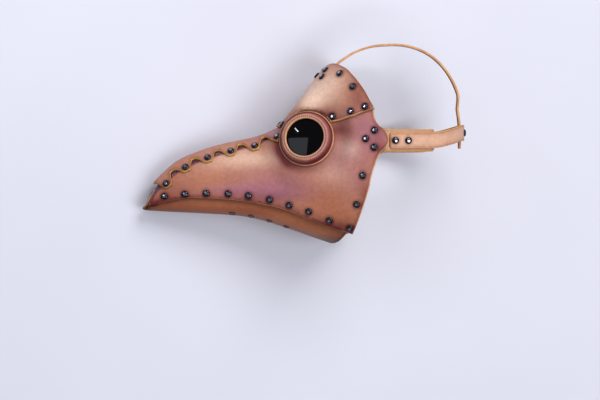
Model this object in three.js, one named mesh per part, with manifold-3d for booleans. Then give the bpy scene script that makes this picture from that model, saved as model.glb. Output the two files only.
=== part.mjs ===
// A long-beaked leather mask, empty, lying on its right side.
// Lengths are in millimetres. The mask is drawn as it is worn, with x running back from the eyes,
// y to the wearer's right and z up, and is laid on its side at the end.
import * as THREE from "three";
import { mergeVertices } from "three/addons/utils/BufferGeometryUtils.js";
import Module from "manifold-3d";

const wasm = await Module();
wasm.setup();

// Driving dimensions
const LEATHER = 2.8; // thickness of every leather piece
const GAP = 0.4; // between neighbouring layers

// Heights of the layers over the skin, which is the outer face of the chin panel
const CHIN_LAYER = -LEATHER;
const SIDE_LAYER = GAP;
const TOP_LAYER = 3 * GAP + LEATHER;
const EYE_LAYER = TOP_LAYER + 0.3;
const BROW_LAYER = TOP_LAYER + 0.1;
const COVER_SLOPE = 9; // over this width
const DIP = 1.8; // how far a covered margin sinks under the piece that covers it
const RAISED_BY = LEATHER + 3 * GAP; // how far the brow climbs over the end of the ridge strip

// The skin's side view and plan, as [x, value] stations
const RIDGE_STATIONS = [
  [-178, -67], [-169.3, -56.5], [-157.7, -45], [-144.1, -33.5], [-120.9, -22.5], [-91.9, -13.5],
  [-60, -6.5], [-43.5, -2.5], [-27.1, 3.6], [-8.3, 14], [6.8, 37.5], [21.8, 59.5], [36.8, 78.5],
  [46.4, 88], [60, 98], [75.4, 107.5], [96.7, 114.8], [120.9, 117],
];
const KEEL_STATIONS = [
  [-187.6, -89], [-159.6, -90.7], [-111.2, -93.2], [-67.7, -96.2], [-38.7, -102], [-7.7, -112],
  [22.2, -122.5], [42.6, -129.5], [67.7, -138],
];
const WIDEST_STATIONS = [
  [-185.4, -77], [-161.1, -71], [-141.1, -68], [-91.3, -62], [-41.3, -55], [10.3, -42], [63.2, -30],
  [103.6, -15], [137.9, -8],
];
const HALF_WIDTH_STATIONS = [
  [-185.4, 11], [-156.1, 17], [-121.2, 22], [-86.3, 27], [-51.3, 32.5], [-21, 39], [10.3, 50],
  [42.3, 60.5], [73.5, 72.5], [103.6, 80], [137.9, 82],
];
const UPPER_SQUARENESS_STATIONS = [
  [-186, 2], [-93, 1.9], [-43, 1.9], [-13, 2], [12, 2.2], [48, 2], [108, 2.1],
];
const LOWER_SQUARENESS = 2.6;

// The eyes: a flat round place on each cheek, here the left one
const EYE_CENTRE = new THREE.Vector3(13.8, -43.5, -1);
const EYE_AXIS = new THREE.Vector3(-0.266, -0.942, 0.203).normalize();
const EYE_FLAT = 41; // the skin is flat this far from the centre
const EYE_FADE = 66; // and takes its own shape again here
const BRIDGE_HALF_WIDTHS = [6, 30]; // over the bridge, the flat place fades between these half widths
const EYE_HOLE_RADIUS = 22;
const FLANGE_HOLE_RADIUS = 22.5;
const FLANGE_RADIUS = 35;
const RING_PROFILE = [
  [25.7, 0], [32, 0], [28.4, 7], [26.2, 9], [23.9, 8], [23.9, 4.8], [25.7, 4.4],
]; // [radius, height]: its foot, its rounded top and the lip that holds the lens down
const LENS_PROFILE = [[0, 0], [25.3, 0], [25.3, 3.6], [13, 5.2], [0, 5.8]]; // [radius, height]
const EYE_SEGMENTS = 20;
const EYE_PLUG = 30; // how far a cut round the eye reaches to each side of the skin

// The side panels' edges, in side view
const JAW_EDGE_STATIONS = [
  [-183.3, -83.9], [-158.5, -78], [-134.5, -73.8], [-117.6, -73.8], [-98.8, -74.8], [-80, -76.3],
  [-58.2, -78.8], [-37.4, -82.8], [-21.9, -86.3], [-6.3, -91.6], [18.9, -101.8], [46.2, -112],
  [69.1, -119.4],
];
const BACK_EDGE_STATIONS = [
  [-119.4, 69.1], [-108.8, 73.4], [-86, 81], [-63, 87.9], [-46.6, 91.2], [-32, 95.7], [-18.6, 101.7],
  [-10, 109.8], [-1.3, 113], [8, 109], [17.5, 99.5], [26, 95.2], [36.3, 93.2], [48, 86.5],
]; // [z, x]
const BACK_EDGE_ROWS = [-119.4, -104, -80, -54, -33, -18.6, -10, -1.3, 8, 17.5, 48];
const FRONT_EDGE_TOP = [-169.5, 3]; // [x, distance from the ridge line]
const SEAM_OFFSET = 2.5; // the two side panels' distance from the ridge line
const SEAM_END = -2; // x where they part over the bridge
const SEAM_SHARE = 0.72; // of the top edge
const SIDE_COLUMNS = 21;

// The ridge strip and its scallops
const STRIP_FRONT = -172;
const STRIP_BACK = -12.6;
const STRIP_FRONT_HALF_WIDTH = 6;
const STRIP_END_LIFT = 0.5; // the last lobe lies this much higher, over the hollow before the eye
const STRIP_RIVETS = [
  [-161.4, -55.6], [-137.3, -35.1], [-109.7, -23.1], [-80.6, -15], [-51, -8.4], [-23.8, 3],
]; // [x, z] in side view
const LOBE_MARGIN = 5.6; // beyond the rivets
const NOTCH_HALF_WIDTH = 10.8;
const STRIP_COVER = 10; // it covers the side panels at least this far
const STRIP_FRONT_COVER = 19; // and this far at its first lobe
const STRIP_COVER_CHANGE = [-160, -148]; // x where it goes from one to the other
const STRIP_ROWS = 6;
const STRIP_SWEEP = 0.45; // its lobes lean back by this share, times the sine of the ridge's slope
const SCALLOP_PHASES = [0, 0.17, 0.27, 0.37, 0.6, 0.84];
const LOBE_FALL = [0.14, 0.36]; // the steep flank behind a lobe's rivet, in shares of the way to the next
const LOBE_RISE = [0.42, 0.95]; // the gentle flank before the next lobe's rivet
const FIRST_LOBE_SHARE = 0.8; // of its width, half way to its front end

// The brow panel
const BROW_FRONT = -19;
const BROW_FRONT_CORNER = [-10, 21]; // [x, distance from the ridge line]
const BROW_BACK = 44.5;
const BROW_LOWER_POINTS = [[42.4, 20.6], [69.4, 28]]; // [x, z]
const BROW_CORNER = [95, 36.8]; // [x, z]
const BROW_BACK_POINTS = [[89.4, 47.5], [85, 57], [77.1, 69.8], [69.8, 79.4], [63.2, 87.4]]; // [x, z]
const BROW_CORNER_STEP = [-1.5, 3.5]; // from the corner of its lower edge to that of its back edge
const BROW_CUTOUT = FLANGE_RADIUS + 1.2;
const BROW_COLUMNS = 8;
const BROW_ROWS = 24;
const BROW_CLIMB_X = [-9.6, 9.4]; // it comes down from the ridge strip between these
const BROW_CLIMB_HALF_WIDTHS = [30, 41]; // and between these distances from the ridge line

// The chin panel
const CHIN_TONGUE_TOP = [-175.5, -62]; // [x, z]
const CHIN_TIP = [-189.3, -87.6]; // [x, z]
const CHIN_TONGUE_HALF_WIDTHS = [7, 9.2, 10.6, 10.5, 8.5]; // from its top to the tip
const CHIN_FLANGE = 14.5; // how far it goes up inside the side panels
const CHIN_FIRST = -184.7; // x where the underside begins
const CHIN_FULL_FLANGE = -166;
const CHIN_TIP_LEAN = 10; // degrees
const CHIN_BACK = 44.5;
const CHIN_BACK_SWEEP = 26; // how much further back its two sides reach
const CHIN_SWEEP_POWER = 1.3;
const CHIN_DIP = [0.45, 0.8]; // it sinks under the side panels between these shares of its width
const TONGUE_ROWS = 4;
const CHIN_COLUMNS = 23;
const CHIN_ROWS = 8;
const VENT_SPOTS = [-78.8, -55.2, -32.4, -11.2];
const VENT_FROM_KEEL = 13.5;
const VENT_PROFILE = [[0, -1.4], [4.2, -1.4], [3.9, 0.8], [0, -0.6]]; // [radius, height]
const VENT_SIDES = 6;

// The rivets and their places, [x, z] in side view
const RIVET_RADIUS = 4.5;
const RIVET_HEIGHT = 2.6;
const RIVET_SHOULDER = [0.8, 0.7]; // shares of its radius and height
const RIVET_ROOT = 2.5; // how deep a head that is one with its leather reaches into it
const RIVET_SIDES = 7;
const JAW_RIVETS = [
  [-163.5, -71.6], [-138.1, -69.1], [-111.6, -67.8], [-84.4, -68.4], [-59.3, -70.8], [-33.1, -75.8],
  [-8.9, -82.8], [15.1, -90.6], [40.5, -101.6], [66, -111.6],
];
const BACK_RIVETS = [[73.4, -81.8], [80.5, -45.8]];
const TAB_RIVETS = [[95, 10.4], [84.2, -0.2], [94.4, -10.8]];
const BROW_RIVETS = [[44, 27.6], [65.9, 34], [83.4, 40.1], [69.1, 65], [54, 81.6]];
const FOREHEAD_RIVETS = [[37.6, 85.9], [33, 77.5]];
const FOREHEAD_RIVET_FRONT = 33.5; // x of the one on the ridge line
const BRIDGE_RIVET = [-6, 22]; // [x, distance from the ridge line]

// The straps
const HEAD_CENTRE = 113.3;
const HEAD_HALF_LENGTH = 98.1;
const HEAD_HALF_WIDTH = 80.3;
const STRAP_LEVEL = -2.4;
const STRAP_RISE = 10; // at the back of the head
const STRAP_RISE_ANGLES = [10, 62]; // degrees from the back, where it comes down from it
const ANCHOR_WIDTH = 28;
const ANCHOR_FLARE = 36;
const ANCHOR_FRONT = 76;
const ANCHOR_FLARE_FROM = 97.5;
const ANCHOR_FLARE_TO = 110.3;
const ANCHOR_END_ANGLE = 53.5; // degrees from the back
const ANCHOR_FRONT_TAPER = 0.3; // of its width, over this share of its length
const ANCHOR_FRONT_TAPER_TO = 0.09;
const ANCHOR_BACK_TAPER = 0.14; // of its width, from this share of its length
const ANCHOR_BACK_TAPER_FROM = 0.96;
const ANCHOR_COLUMNS = 12;
const ANCHOR_LAYER = CHIN_LAYER - 2.3;
const STRAP_LAYER = ANCHOR_LAYER + LEATHER + GAP;
const STRAP_WIDTH = 20;
const STRAP_START = 114;
const STRAP_RIVETS = [121, 137.1]; // x of the two at each side
const STRAP_BACK_RIVET_ANGLE = 6; // degrees, of the two that hold the top strap
const STRAP_COLUMNS = 28;
const BAND_STEP = 0.02; // radians, for the head outline's direction
const CROWN_TOP = [120.9, 117];
const TOP_STRAP_FRONT = 25.1;
const TOP_STRAP_FLARE = 26;
const TOP_STRAP_END = -9;
const TOP_STRAP_LAYER = SIDE_LAYER - 1;
const TOP_STRAP_TUCK = 1.6; // how much lower its front end lies
const TOP_STRAP_FLARE_X = [38, 60]; // its front end narrows to the strap's width between these
const TOP_STRAP_INWARD = [0.79, 0.87]; // shares of its length where it passes inside the head strap
const TOP_STRAP_COLUMNS = 24;
const CROWN_SHARE = 0.36; // of its length lies along the ridge, and the rest goes down the back
const CROWN_POWER = 0.88;
const CROWN_STEP = 0.01;

// How the mask comes to rest: turned on its right side, then tilted until the first lobe of the ridge
// strip, the eye ring and the brow panel's rivet at the temple all touch
const LYING_ROLL = -90;
const REST_ROLL = -4.26;
const REST_PITCH = -14.46;

const LEATHER_TAN = new THREE.MeshStandardMaterial({ color: 0xa9745a, roughness: 0.55, metalness: 0 });
const LEATHER_CHIN = new THREE.MeshStandardMaterial({ color: 0x9c5f38, roughness: 0.55, metalness: 0 });
const LEATHER_STRAP = new THREE.MeshStandardMaterial({ color: 0xd9a683, roughness: 0.6, metalness: 0 });
const RIVET_METAL = new THREE.MeshStandardMaterial({ color: 0x6b6a70, roughness: 0.25, metalness: 1 });
const LENS_GLASS = new THREE.MeshStandardMaterial({ color: 0x08090a, roughness: 0.08, metalness: 0 });

const degrees = THREE.MathUtils.degToRad;
const smoothstep = THREE.MathUtils.smoothstep;
const lerp = THREE.MathUtils.lerp;

// A smooth curve through stations, whose slope at each is the slope between its neighbours.
function smoothCurve(stations) {
  const last = stations.length - 1;
  const slopes = stations.map((_, i) => {
    const [x0, v0] = stations[Math.max(i - 1, 0)];
    const [x1, v1] = stations[Math.min(i + 1, last)];
    return (v1 - v0) / (x1 - x0);
  });
  return (x) => {
    if (x <= stations[0][0]) return stations[0][1] + slopes[0] * (x - stations[0][0]);
    if (x >= stations[last][0]) return stations[last][1] + slopes[last] * (x - stations[last][0]);
    let i = 0;
    while (x > stations[i + 1][0]) i++;
    const span = stations[i + 1][0] - stations[i][0];
    const t = (x - stations[i][0]) / span;
    const start = (1 + 2 * t) * (1 - t) ** 2 * stations[i][1] + t * (1 - t) ** 2 * span * slopes[i];
    const end = t * t * (3 - 2 * t) * stations[i + 1][1] + t * t * (t - 1) * span * slopes[i + 1];
    return start + end;
  };
}

const ridge = smoothCurve(RIDGE_STATIONS);
const keel = smoothCurve(KEEL_STATIONS);
const widest = smoothCurve(WIDEST_STATIONS);
const halfWidth = smoothCurve(HALF_WIDTH_STATIONS);
const upperSquareness = smoothCurve(UPPER_SQUARENESS_STATIONS);
const jawEdge = smoothCurve(JAW_EDGE_STATIONS);
const backEdge = smoothCurve(BACK_EDGE_STATIONS);

// Half of the skin's cross-section at x, from the ridge to the keel, with the length along it.
const SECTION_STEPS = 72;
const sections = new Map();
function section(x) {
  if (sections.has(x)) return sections.get(x);
  const points = [];
  let length = 0;
  for (let i = 0; i <= SECTION_STEPS; i++) {
    const angle = (Math.PI * i) / SECTION_STEPS;
    const upper = angle < Math.PI / 2;
    const power = 2 / (upper ? upperSquareness(x) : LOWER_SQUARENESS);
    const rise = upper ? ridge(x) - widest(x) : keel(x) - widest(x);
    const y = halfWidth(x) * Math.sin(angle) ** power;
    const z = widest(x) + rise * Math.abs(Math.cos(angle)) ** power;
    if (i > 0) length += Math.hypot(y - points[i - 1].y, z - points[i - 1].z);
    points.push({ y, z, length });
  }
  sections.set(x, points);
  return points;
}

function sectionLength(x) {
  return section(x)[SECTION_STEPS].length;
}

// The distance from the ridge, along the section at x, of the height z.
function distanceAt(x, z) {
  const points = section(x);
  let i = 0;
  while (i < SECTION_STEPS - 1 && points[i + 1].z > z) i++;
  const share = (points[i].z - z) / (points[i].z - points[i + 1].z);
  return lerp(points[i].length, points[i + 1].length, THREE.MathUtils.clamp(share, 0, 1));
}

// Each cheek is flat round its eye.
function flattened(point) {
  const side = point.y > 0 ? -1 : 1;
  const centre = new THREE.Vector3(EYE_CENTRE.x, side * EYE_CENTRE.y, EYE_CENTRE.z);
  const axis = new THREE.Vector3(EYE_AXIS.x, side * EYE_AXIS.y, EYE_AXIS.z);
  const near = 1 - smoothstep(point.distanceTo(centre), EYE_FLAT, EYE_FADE);
  const offRidge = smoothstep(Math.abs(point.y), ...BRIDGE_HALF_WIDTHS);
  const depth = centre.clone().sub(point).dot(axis);
  return point.addScaledVector(axis, near * offRidge * depth);
}

// A point of the skin, by x and the distance from the ridge, which is negative on the left.
function fromRidge(x, distance) {
  const points = section(x);
  const along = Math.abs(distance);
  let i = 0;
  while (i < SECTION_STEPS - 1 && points[i + 1].length < along) i++;
  const share = (along - points[i].length) / (points[i + 1].length - points[i].length);
  const y = lerp(points[i].y, points[i + 1].y, share);
  const z = lerp(points[i].z, points[i + 1].z, share);
  return flattened(new THREE.Vector3(x, Math.sign(distance) * y, z));
}

// The same by the distance from the keel.
function fromKeel(x, distance) {
  const along = sectionLength(x) - Math.abs(distance);
  return fromRidge(x, distance < 0 ? -along : along);
}

// The outward normal of a surface given as a function of x and a distance.
const NORMAL_STEP = 0.8;
function normalOf(surface, x, distance) {
  const alongX = surface(x + NORMAL_STEP, distance).sub(surface(x - NORMAL_STEP, distance));
  const across = surface(x, distance + NORMAL_STEP).sub(surface(x, distance - NORMAL_STEP));
  const normal = alongX.cross(across).normalize();
  return surface === fromKeel ? normal.negate() : normal;
}

function raised(surface, x, distance, height) {
  return surface(x, distance).addScaledVector(normalOf(surface, x, distance), height);
}

// The place on the left half, as [x, distance], whose raised point is seen at (x, z) from the side.
const PLACE_ROUNDS = 20;
const PLACE_STEP = 0.5;
const PLACE_REACH = 6;
const LEAST_DISTANCE = 12;
function sidePlace(seenX, seenZ, height) {
  let x = seenX;
  let distance = -Math.max(distanceAt(seenX, seenZ), LEAST_DISTANCE);
  for (let i = 0; i < PLACE_ROUNDS; i++) {
    const here = raised(fromRidge, x, distance, height);
    const alongX = raised(fromRidge, x + PLACE_STEP, distance, height).sub(here);
    const alongS = raised(fromRidge, x, distance + PLACE_STEP, height).sub(here);
    const determinant = alongX.x * alongS.z - alongS.x * alongX.z;
    const missX = (seenX - here.x) * PLACE_STEP;
    const missZ = (seenZ - here.z) * PLACE_STEP;
    const stepX = (alongS.z * missX - alongS.x * missZ) / determinant;
    const stepS = (alongX.x * missZ - alongX.z * missX) / determinant;
    x += THREE.MathUtils.clamp(stepX, -PLACE_REACH, PLACE_REACH);
    distance += THREE.MathUtils.clamp(stepS, -PLACE_REACH, PLACE_REACH);
  }
  return [x, distance];
}

function geometryOf(points, faces) {
  const geometry = new THREE.BufferGeometry();
  geometry.setAttribute("position", new THREE.Float32BufferAttribute(points, 3));
  geometry.setIndex(faces);
  return geometry;
}

function toSolid(geometry) {
  const bare = geometry.clone();
  bare.deleteAttribute("normal");
  bare.deleteAttribute("uv");
  const merged = mergeVertices(bare, 1e-4);
  const triVerts = new Uint32Array(merged.index.array);
  const vertProperties = merged.attributes.position.array;
  return new wasm.Manifold(new wasm.Mesh({ numProp: 3, vertProperties, triVerts }));
}

function fromSolid(solid) {
  const mesh = solid.getMesh();
  return geometryOf(Array.from(mesh.vertProperties), Array.from(mesh.triVerts));
}

function turnedInsideOut(geometry) {
  const faces = Array.from(geometry.index.array);
  for (let i = 0; i < faces.length; i += 3) [faces[i], faces[i + 1]] = [faces[i + 1], faces[i]];
  return geometryOf(Array.from(geometry.attributes.position.array), faces);
}

function mirrored(geometry) {
  const copy = geometry.index ? geometry.clone() : mergeVertices(geometry);
  copy.scale(1, -1, 1);
  return turnedInsideOut(copy);
}

// A piece of leather: a grid of columns and rows, with an outer and an inner face and its cut edges.
function leather(at, columns, rows, inner) {
  const points = [];
  for (const height of [inner + LEATHER, inner])
    for (let i = 0; i <= columns; i++)
      for (let j = 0; j <= rows; j++)
        points.push(...at(i / columns, j / rows, height, i, j).toArray());
  const layer = (columns + 1) * (rows + 1);
  const outerAt = (i, j) => i * (rows + 1) + j;
  const innerAt = (i, j) => layer + outerAt(i, j);
  const faces = [];
  const quad = (a, b, c, d) => faces.push(a, b, c, a, c, d);
  for (let i = 0; i < columns; i++)
    for (let j = 0; j < rows; j++) {
      quad(outerAt(i, j), outerAt(i + 1, j), outerAt(i + 1, j + 1), outerAt(i, j + 1));
      quad(innerAt(i, j), innerAt(i, j + 1), innerAt(i + 1, j + 1), innerAt(i + 1, j));
    }
  for (let i = 0; i < columns; i++) {
    quad(innerAt(i, 0), innerAt(i + 1, 0), outerAt(i + 1, 0), outerAt(i, 0));
    quad(outerAt(i, rows), outerAt(i + 1, rows), innerAt(i + 1, rows), innerAt(i, rows));
  }
  for (let j = 0; j < rows; j++) {
    quad(outerAt(0, j), outerAt(0, j + 1), innerAt(0, j + 1), innerAt(0, j));
    quad(innerAt(columns, j), innerAt(columns, j + 1), outerAt(columns, j + 1), outerAt(columns, j));
  }
  const geometry = geometryOf(points, faces);
  return toSolid(geometry).volume() < 0 ? turnedInsideOut(geometry) : geometry;
}

// A lathed solid standing at a point along an axis. Its profile runs from the axis at the bottom to
// the axis at the top, or closes on itself.
function turned(profile, sides, point, axis) {
  const geometry = new THREE.LatheGeometry(profile.map(([r, h]) => new THREE.Vector2(r, h)), sides);
  geometry.applyQuaternion(new THREE.Quaternion().setFromUnitVectors(new THREE.Vector3(0, 1, 0), axis));
  geometry.translate(point.x, point.y, point.z);
  const shape = fromSolid(toSolid(geometry));
  return toSolid(shape).volume() < 0 ? turnedInsideOut(shape) : shape;
}

// A domed rivet head that stands at a point, or is rooted below it.
function rivetHead(point, normal, root) {
  const shoulder = [RIVET_RADIUS * RIVET_SHOULDER[0], RIVET_HEIGHT * RIVET_SHOULDER[1]];
  const profile = [[0, -root], [RIVET_RADIUS, -root], shoulder, [0, RIVET_HEIGHT]];
  return turned(profile, RIVET_SIDES, point, normal);
}

function rivet(x, distance, height, root = 0) {
  const normal = normalOf(fromRidge, x, distance);
  return rivetHead(raised(fromRidge, x, distance, height), normal, root);
}

const mask = new THREE.Group();
const worn = new THREE.Group();
mask.add(worn);

function add(name, geometry, material) {
  const mesh = new THREE.Mesh(geometry, material);
  mesh.name = name;
  worn.add(mesh);
}

function addPair(name, geometry, material) {
  add(name + "_left", geometry, material);
  add(name + "_right", mirrored(geometry), material);
}

// The brow panel's lower edge runs from the bridge round the eye to the temple, and its back edge from
// the crown to the temple. Both are lists of [x, distance from the ridge] on the left.
const browOuter = BROW_LAYER + LEATHER;
const browLower = [[BROW_FRONT, 0], [BROW_FRONT_CORNER[0], -BROW_FRONT_CORNER[1]]];
for (const [x, z] of BROW_LOWER_POINTS) browLower.push(sidePlace(x, z, browOuter));
browLower.push(sidePlace(...BROW_CORNER, browOuter));
const browUpper = [[BROW_BACK, 0]];
for (const [x, z] of BROW_BACK_POINTS.toReversed()) browUpper.push(sidePlace(x, z, browOuter));
const browBackCorner = [0, 1].map((k) => BROW_CORNER[k] + BROW_CORNER_STEP[k]);
browUpper.push(sidePlace(...browBackCorner, browOuter));

// The side panels, which sink where the ridge strip and the brow panel cover them
const underBrow = browLower.slice(1).map(([x, distance]) => [x, -distance]);
const underStrip = [
  [STRIP_FRONT, STRIP_FRONT_COVER], [STRIP_COVER_CHANGE[0], STRIP_FRONT_COVER],
  [STRIP_COVER_CHANGE[1], STRIP_COVER], [BROW_FRONT, STRIP_COVER],
];
const coveredTo = smoothCurve([...underStrip, ...underBrow]);
const sideOuter = SIDE_LAYER + LEATHER;
const jawPlace = (x) => sidePlace(x, jawEdge(x), sideOuter);
const backPlace = (z) => sidePlace(backEdge(z), z, sideOuter);
const sideCorner = backPlace(BACK_EDGE_ROWS.at(-1));

function sideTopEdge(u) {
  if (u < SEAM_SHARE)
    return [lerp(FRONT_EDGE_TOP[0], SEAM_END, u / SEAM_SHARE), -SEAM_OFFSET];
  const t = (u - SEAM_SHARE) / (1 - SEAM_SHARE);
  return [lerp(SEAM_END, sideCorner[0], t), lerp(-SEAM_OFFSET, sideCorner[1], t)];
}

const JAW_FRONT = JAW_EDGE_STATIONS[0][0];
const JAW_BACK = JAW_EDGE_STATIONS.at(-1)[0];
const sideBottomEdge = (u) => jawPlace(lerp(JAW_FRONT, JAW_BACK, u));
const sideRows = BACK_EDGE_ROWS.length - 1;
const sideBackEdge = BACK_EDGE_ROWS.map(backPlace);
const sideFrontBottom = sideBottomEdge(0);

// The place in a patch that four edges span.
function patched(u, v, bottom, top, front, back, corners) {
  return [0, 1].map((k) => {
    const across = (1 - v) * bottom[k] + v * top[k];
    const along = (1 - u) * front[k] + u * back[k];
    const low = (1 - u) * corners[0][k] + u * corners[1][k];
    const high = (1 - u) * corners[2][k] + u * corners[3][k];
    return across + along - (1 - v) * low - v * high;
  });
}

const frontTop = sideTopEdge(0);
const sideCorners = [sideFrontBottom, sideBackEdge[0], frontTop, sideCorner];
const bottomColumns = [];
for (let i = 0; i <= SIDE_COLUMNS; i++) bottomColumns.push(sideBottomEdge(i / SIDE_COLUMNS));

function sidePoint(u, v, height, i, j) {
  const front = [0, 1].map((k) => lerp(sideFrontBottom[k], frontTop[k], v));
  const place = patched(u, v, bottomColumns[i], sideTopEdge(u), front, sideBackEdge[j], sideCorners);
  const under = coveredTo(place[0]) - Math.abs(place[1]);
  return raised(fromRidge, ...place, height - DIP * smoothstep(under, 0, COVER_SLOPE));
}

// A round plug along the left eye's axis.
function eyePlug(radius) {
  const profile = [[0, -EYE_PLUG], [radius, -EYE_PLUG], [radius, EYE_PLUG], [0, EYE_PLUG]];
  return turned(profile, EYE_SEGMENTS, EYE_CENTRE, EYE_AXIS);
}

const eyeHole = toSolid(eyePlug(EYE_HOLE_RADIUS));
const eyeRoom = toSolid(eyePlug(BROW_CUTOUT));
const eyeRoomRight = toSolid(mirrored(eyePlug(BROW_CUTOUT)));
const sidePanel = leather(sidePoint, SIDE_COLUMNS, sideRows, SIDE_LAYER);
addPair("side_panel", fromSolid(toSolid(sidePanel).subtract(eyeHole)), LEATHER_TAN);

// The ridge strip, with a gentle flank before each lobe and a steep one behind it
const stripRivetPlaces = STRIP_RIVETS.map(([x, z]) => sidePlace(x, z, TOP_LAYER + LEATHER));
const lobeHalfWidths = stripRivetPlaces.map((place) => LOBE_MARGIN - place[1]);

// How far back a point of the strip lies from the ridge's x at its station.
function stripSweep(x, distance) {
  const slope = (ridge(x + 1) - ridge(x - 1)) / 2;
  return (STRIP_SWEEP * slope * Math.abs(distance)) / Math.hypot(1, slope);
}

const lobeStations = stripRivetPlaces.map(([x, distance]) => {
  let station = x;
  for (let i = 0; i < PLACE_ROUNDS; i++) station = x - stripSweep(station, distance);
  return station;
});

function scallopStart(lobe) {
  const last = lobeStations.length - 1;
  return lobe <= last ? lobeStations[lobe] : 2 * lobeStations[last] - lobeStations[last - 1];
}

function scallopX(lobe, phase) {
  return lerp(scallopStart(lobe), scallopStart(lobe + 1), phase);
}

// The strip's half width at a phase of a lobe, which starts at its rivet.
function scallopHalfWidth(lobe, phase) {
  const next = Math.min(lobe + 1, lobeHalfWidths.length - 1);
  const fall = 1 - smoothstep(phase, ...LOBE_FALL);
  const rise = smoothstep(phase, ...LOBE_RISE);
  const width = lobeHalfWidths[phase < LOBE_FALL[1] ? lobe : next];
  return lerp(NOTCH_HALF_WIDTH, width, Math.max(fall, rise));
}

const stripStations = [
  [STRIP_FRONT, STRIP_FRONT_HALF_WIDTH],
  [(STRIP_FRONT + scallopStart(0)) / 2, FIRST_LOBE_SHARE * lobeHalfWidths[0]],
];
for (let lobe = 0; lobe < lobeHalfWidths.length; lobe++)
  for (const phase of SCALLOP_PHASES) {
    const x = scallopX(lobe, phase);
    if (x < STRIP_BACK) stripStations.push([x, scallopHalfWidth(lobe, phase)]);
  }

function stripPoint(u, v, height, i) {
  const [x, half] = stripStations[i];
  const distance = (2 * v - 1) * half;
  const lift = STRIP_END_LIFT * smoothstep(x, lobeStations.at(-2), lobeStations.at(-1));
  return raised(fromRidge, x + stripSweep(x, distance), distance, height + lift);
}

let strip = toSolid(leather(stripPoint, stripStations.length - 1, STRIP_ROWS, TOP_LAYER));
for (const [x, distance] of stripRivetPlaces)
  for (const side of [-1, 1])
    strip = strip.add(toSolid(rivet(x, side * distance, TOP_LAYER + LEATHER, RIVET_ROOT)));
add("ridge_strip", fromSolid(strip.subtract(eyeRoom).subtract(eyeRoomRight)), LEATHER_TAN);

// A point at a share of the length of an open line of places.
function alongLine(line, share) {
  const lengths = [0];
  for (let i = 1; i < line.length; i++)
    lengths.push(lengths[i - 1] + Math.hypot(line[i][0] - line[i - 1][0], line[i][1] - line[i - 1][1]));
  const target = share * lengths.at(-1);
  let i = 0;
  while (i < line.length - 2 && lengths[i + 1] < target) i++;
  const t = (target - lengths[i]) / (lengths[i + 1] - lengths[i]);
  return [0, 1].map((k) => lerp(line[i][k], line[i + 1][k], t));
}

// The brow panel, from its lower edge to its back edge, with the rivets on the forehead and the bridge
function browPoint(u, v, height) {
  const across = 2 * v - 1;
  const share = Math.abs(across);
  const low = alongLine(browLower, share);
  const high = alongLine(browUpper, share);
  const x = lerp(low[0], high[0], u);
  const distance = Math.sign(across) * -lerp(low[1], high[1], u);
  const overStrip = 1 - smoothstep(x, ...BROW_CLIMB_X);
  const nearRidge = 1 - smoothstep(Math.abs(distance), ...BROW_CLIMB_HALF_WIDTHS);
  return raised(fromRidge, x, distance, height + RAISED_BY * overStrip * nearRidge);
}

let brow = toSolid(leather(browPoint, BROW_COLUMNS, BROW_ROWS, BROW_LAYER));
brow = brow.subtract(eyeRoom).subtract(eyeRoomRight);
const foreheadPlaces = [[FOREHEAD_RIVET_FRONT, 0]];
for (const [x, z] of FOREHEAD_RIVETS) {
  const [ridgeX, distance] = sidePlace(x, z, browOuter);
  foreheadPlaces.push([ridgeX, distance], [ridgeX, -distance]);
}
for (const [x, distance] of foreheadPlaces)
  brow = brow.add(toSolid(rivet(x, distance, browOuter, RIVET_ROOT)));
for (const side of [-1, 1]) {
  const [x, distance] = BRIDGE_RIVET;
  brow = brow.add(toSolid(rivet(x, side * distance, browOuter + RAISED_BY, RIVET_ROOT)));
}
add("brow_panel", fromSolid(brow), LEATHER_TAN);

// The chin panel: a tongue up the slanted front of the beak, then the underside
const tongueLean = Math.atan2(CHIN_TONGUE_TOP[1] - CHIN_TIP[1], CHIN_TONGUE_TOP[0] - CHIN_TIP[0]);
function chinReach(x) {
  const flange = CHIN_FLANGE * smoothstep(x, CHIN_FIRST, CHIN_FULL_FLANGE);
  return sectionLength(x) + jawPlace(x)[1] + flange;
}
const chinReachAt = new Map();

function chinPoint(u, v, height, i) {
  const across = 2 * v - 1;
  if (i <= TONGUE_ROWS) {
    const t = i / TONGUE_ROWS;
    const lean = i < TONGUE_ROWS ? tongueLean : degrees(CHIN_TIP_LEAN);
    const half = CHIN_TONGUE_HALF_WIDTHS[i];
    return new THREE.Vector3(
      lerp(CHIN_TONGUE_TOP[0], CHIN_TIP[0], t) - Math.sin(lean) * height,
      half * across,
      lerp(CHIN_TONGUE_TOP[1], CHIN_TIP[1], t) + (i < TONGUE_ROWS ? 1 : -1) * Math.cos(lean) * height,
    );
  }
  const share = (i - TONGUE_ROWS - 1) / (CHIN_COLUMNS - TONGUE_ROWS - 1);
  const sweep = CHIN_BACK_SWEEP * Math.abs(across) ** CHIN_SWEEP_POWER;
  const x = lerp(CHIN_FIRST, CHIN_BACK + sweep, share);
  if (!chinReachAt.has(x)) chinReachAt.set(x, chinReach(x));
  const dip = DIP * smoothstep(Math.abs(across), ...CHIN_DIP);
  return raised(fromKeel, x, across * chinReachAt.get(x), height - dip);
}

let chin = toSolid(leather(chinPoint, CHIN_COLUMNS, CHIN_ROWS, CHIN_LAYER));
for (const x of VENT_SPOTS)
  for (const side of [-1, 1]) {
    const spot = raised(fromKeel, x, side * VENT_FROM_KEEL, 0);
    const normal = normalOf(fromKeel, x, side * VENT_FROM_KEEL);
    chin = chin.add(toSolid(turned(VENT_PROFILE, VENT_SIDES, spot, normal)));
  }
add("chin_panel", fromSolid(chin), LEATHER_CHIN);

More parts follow.
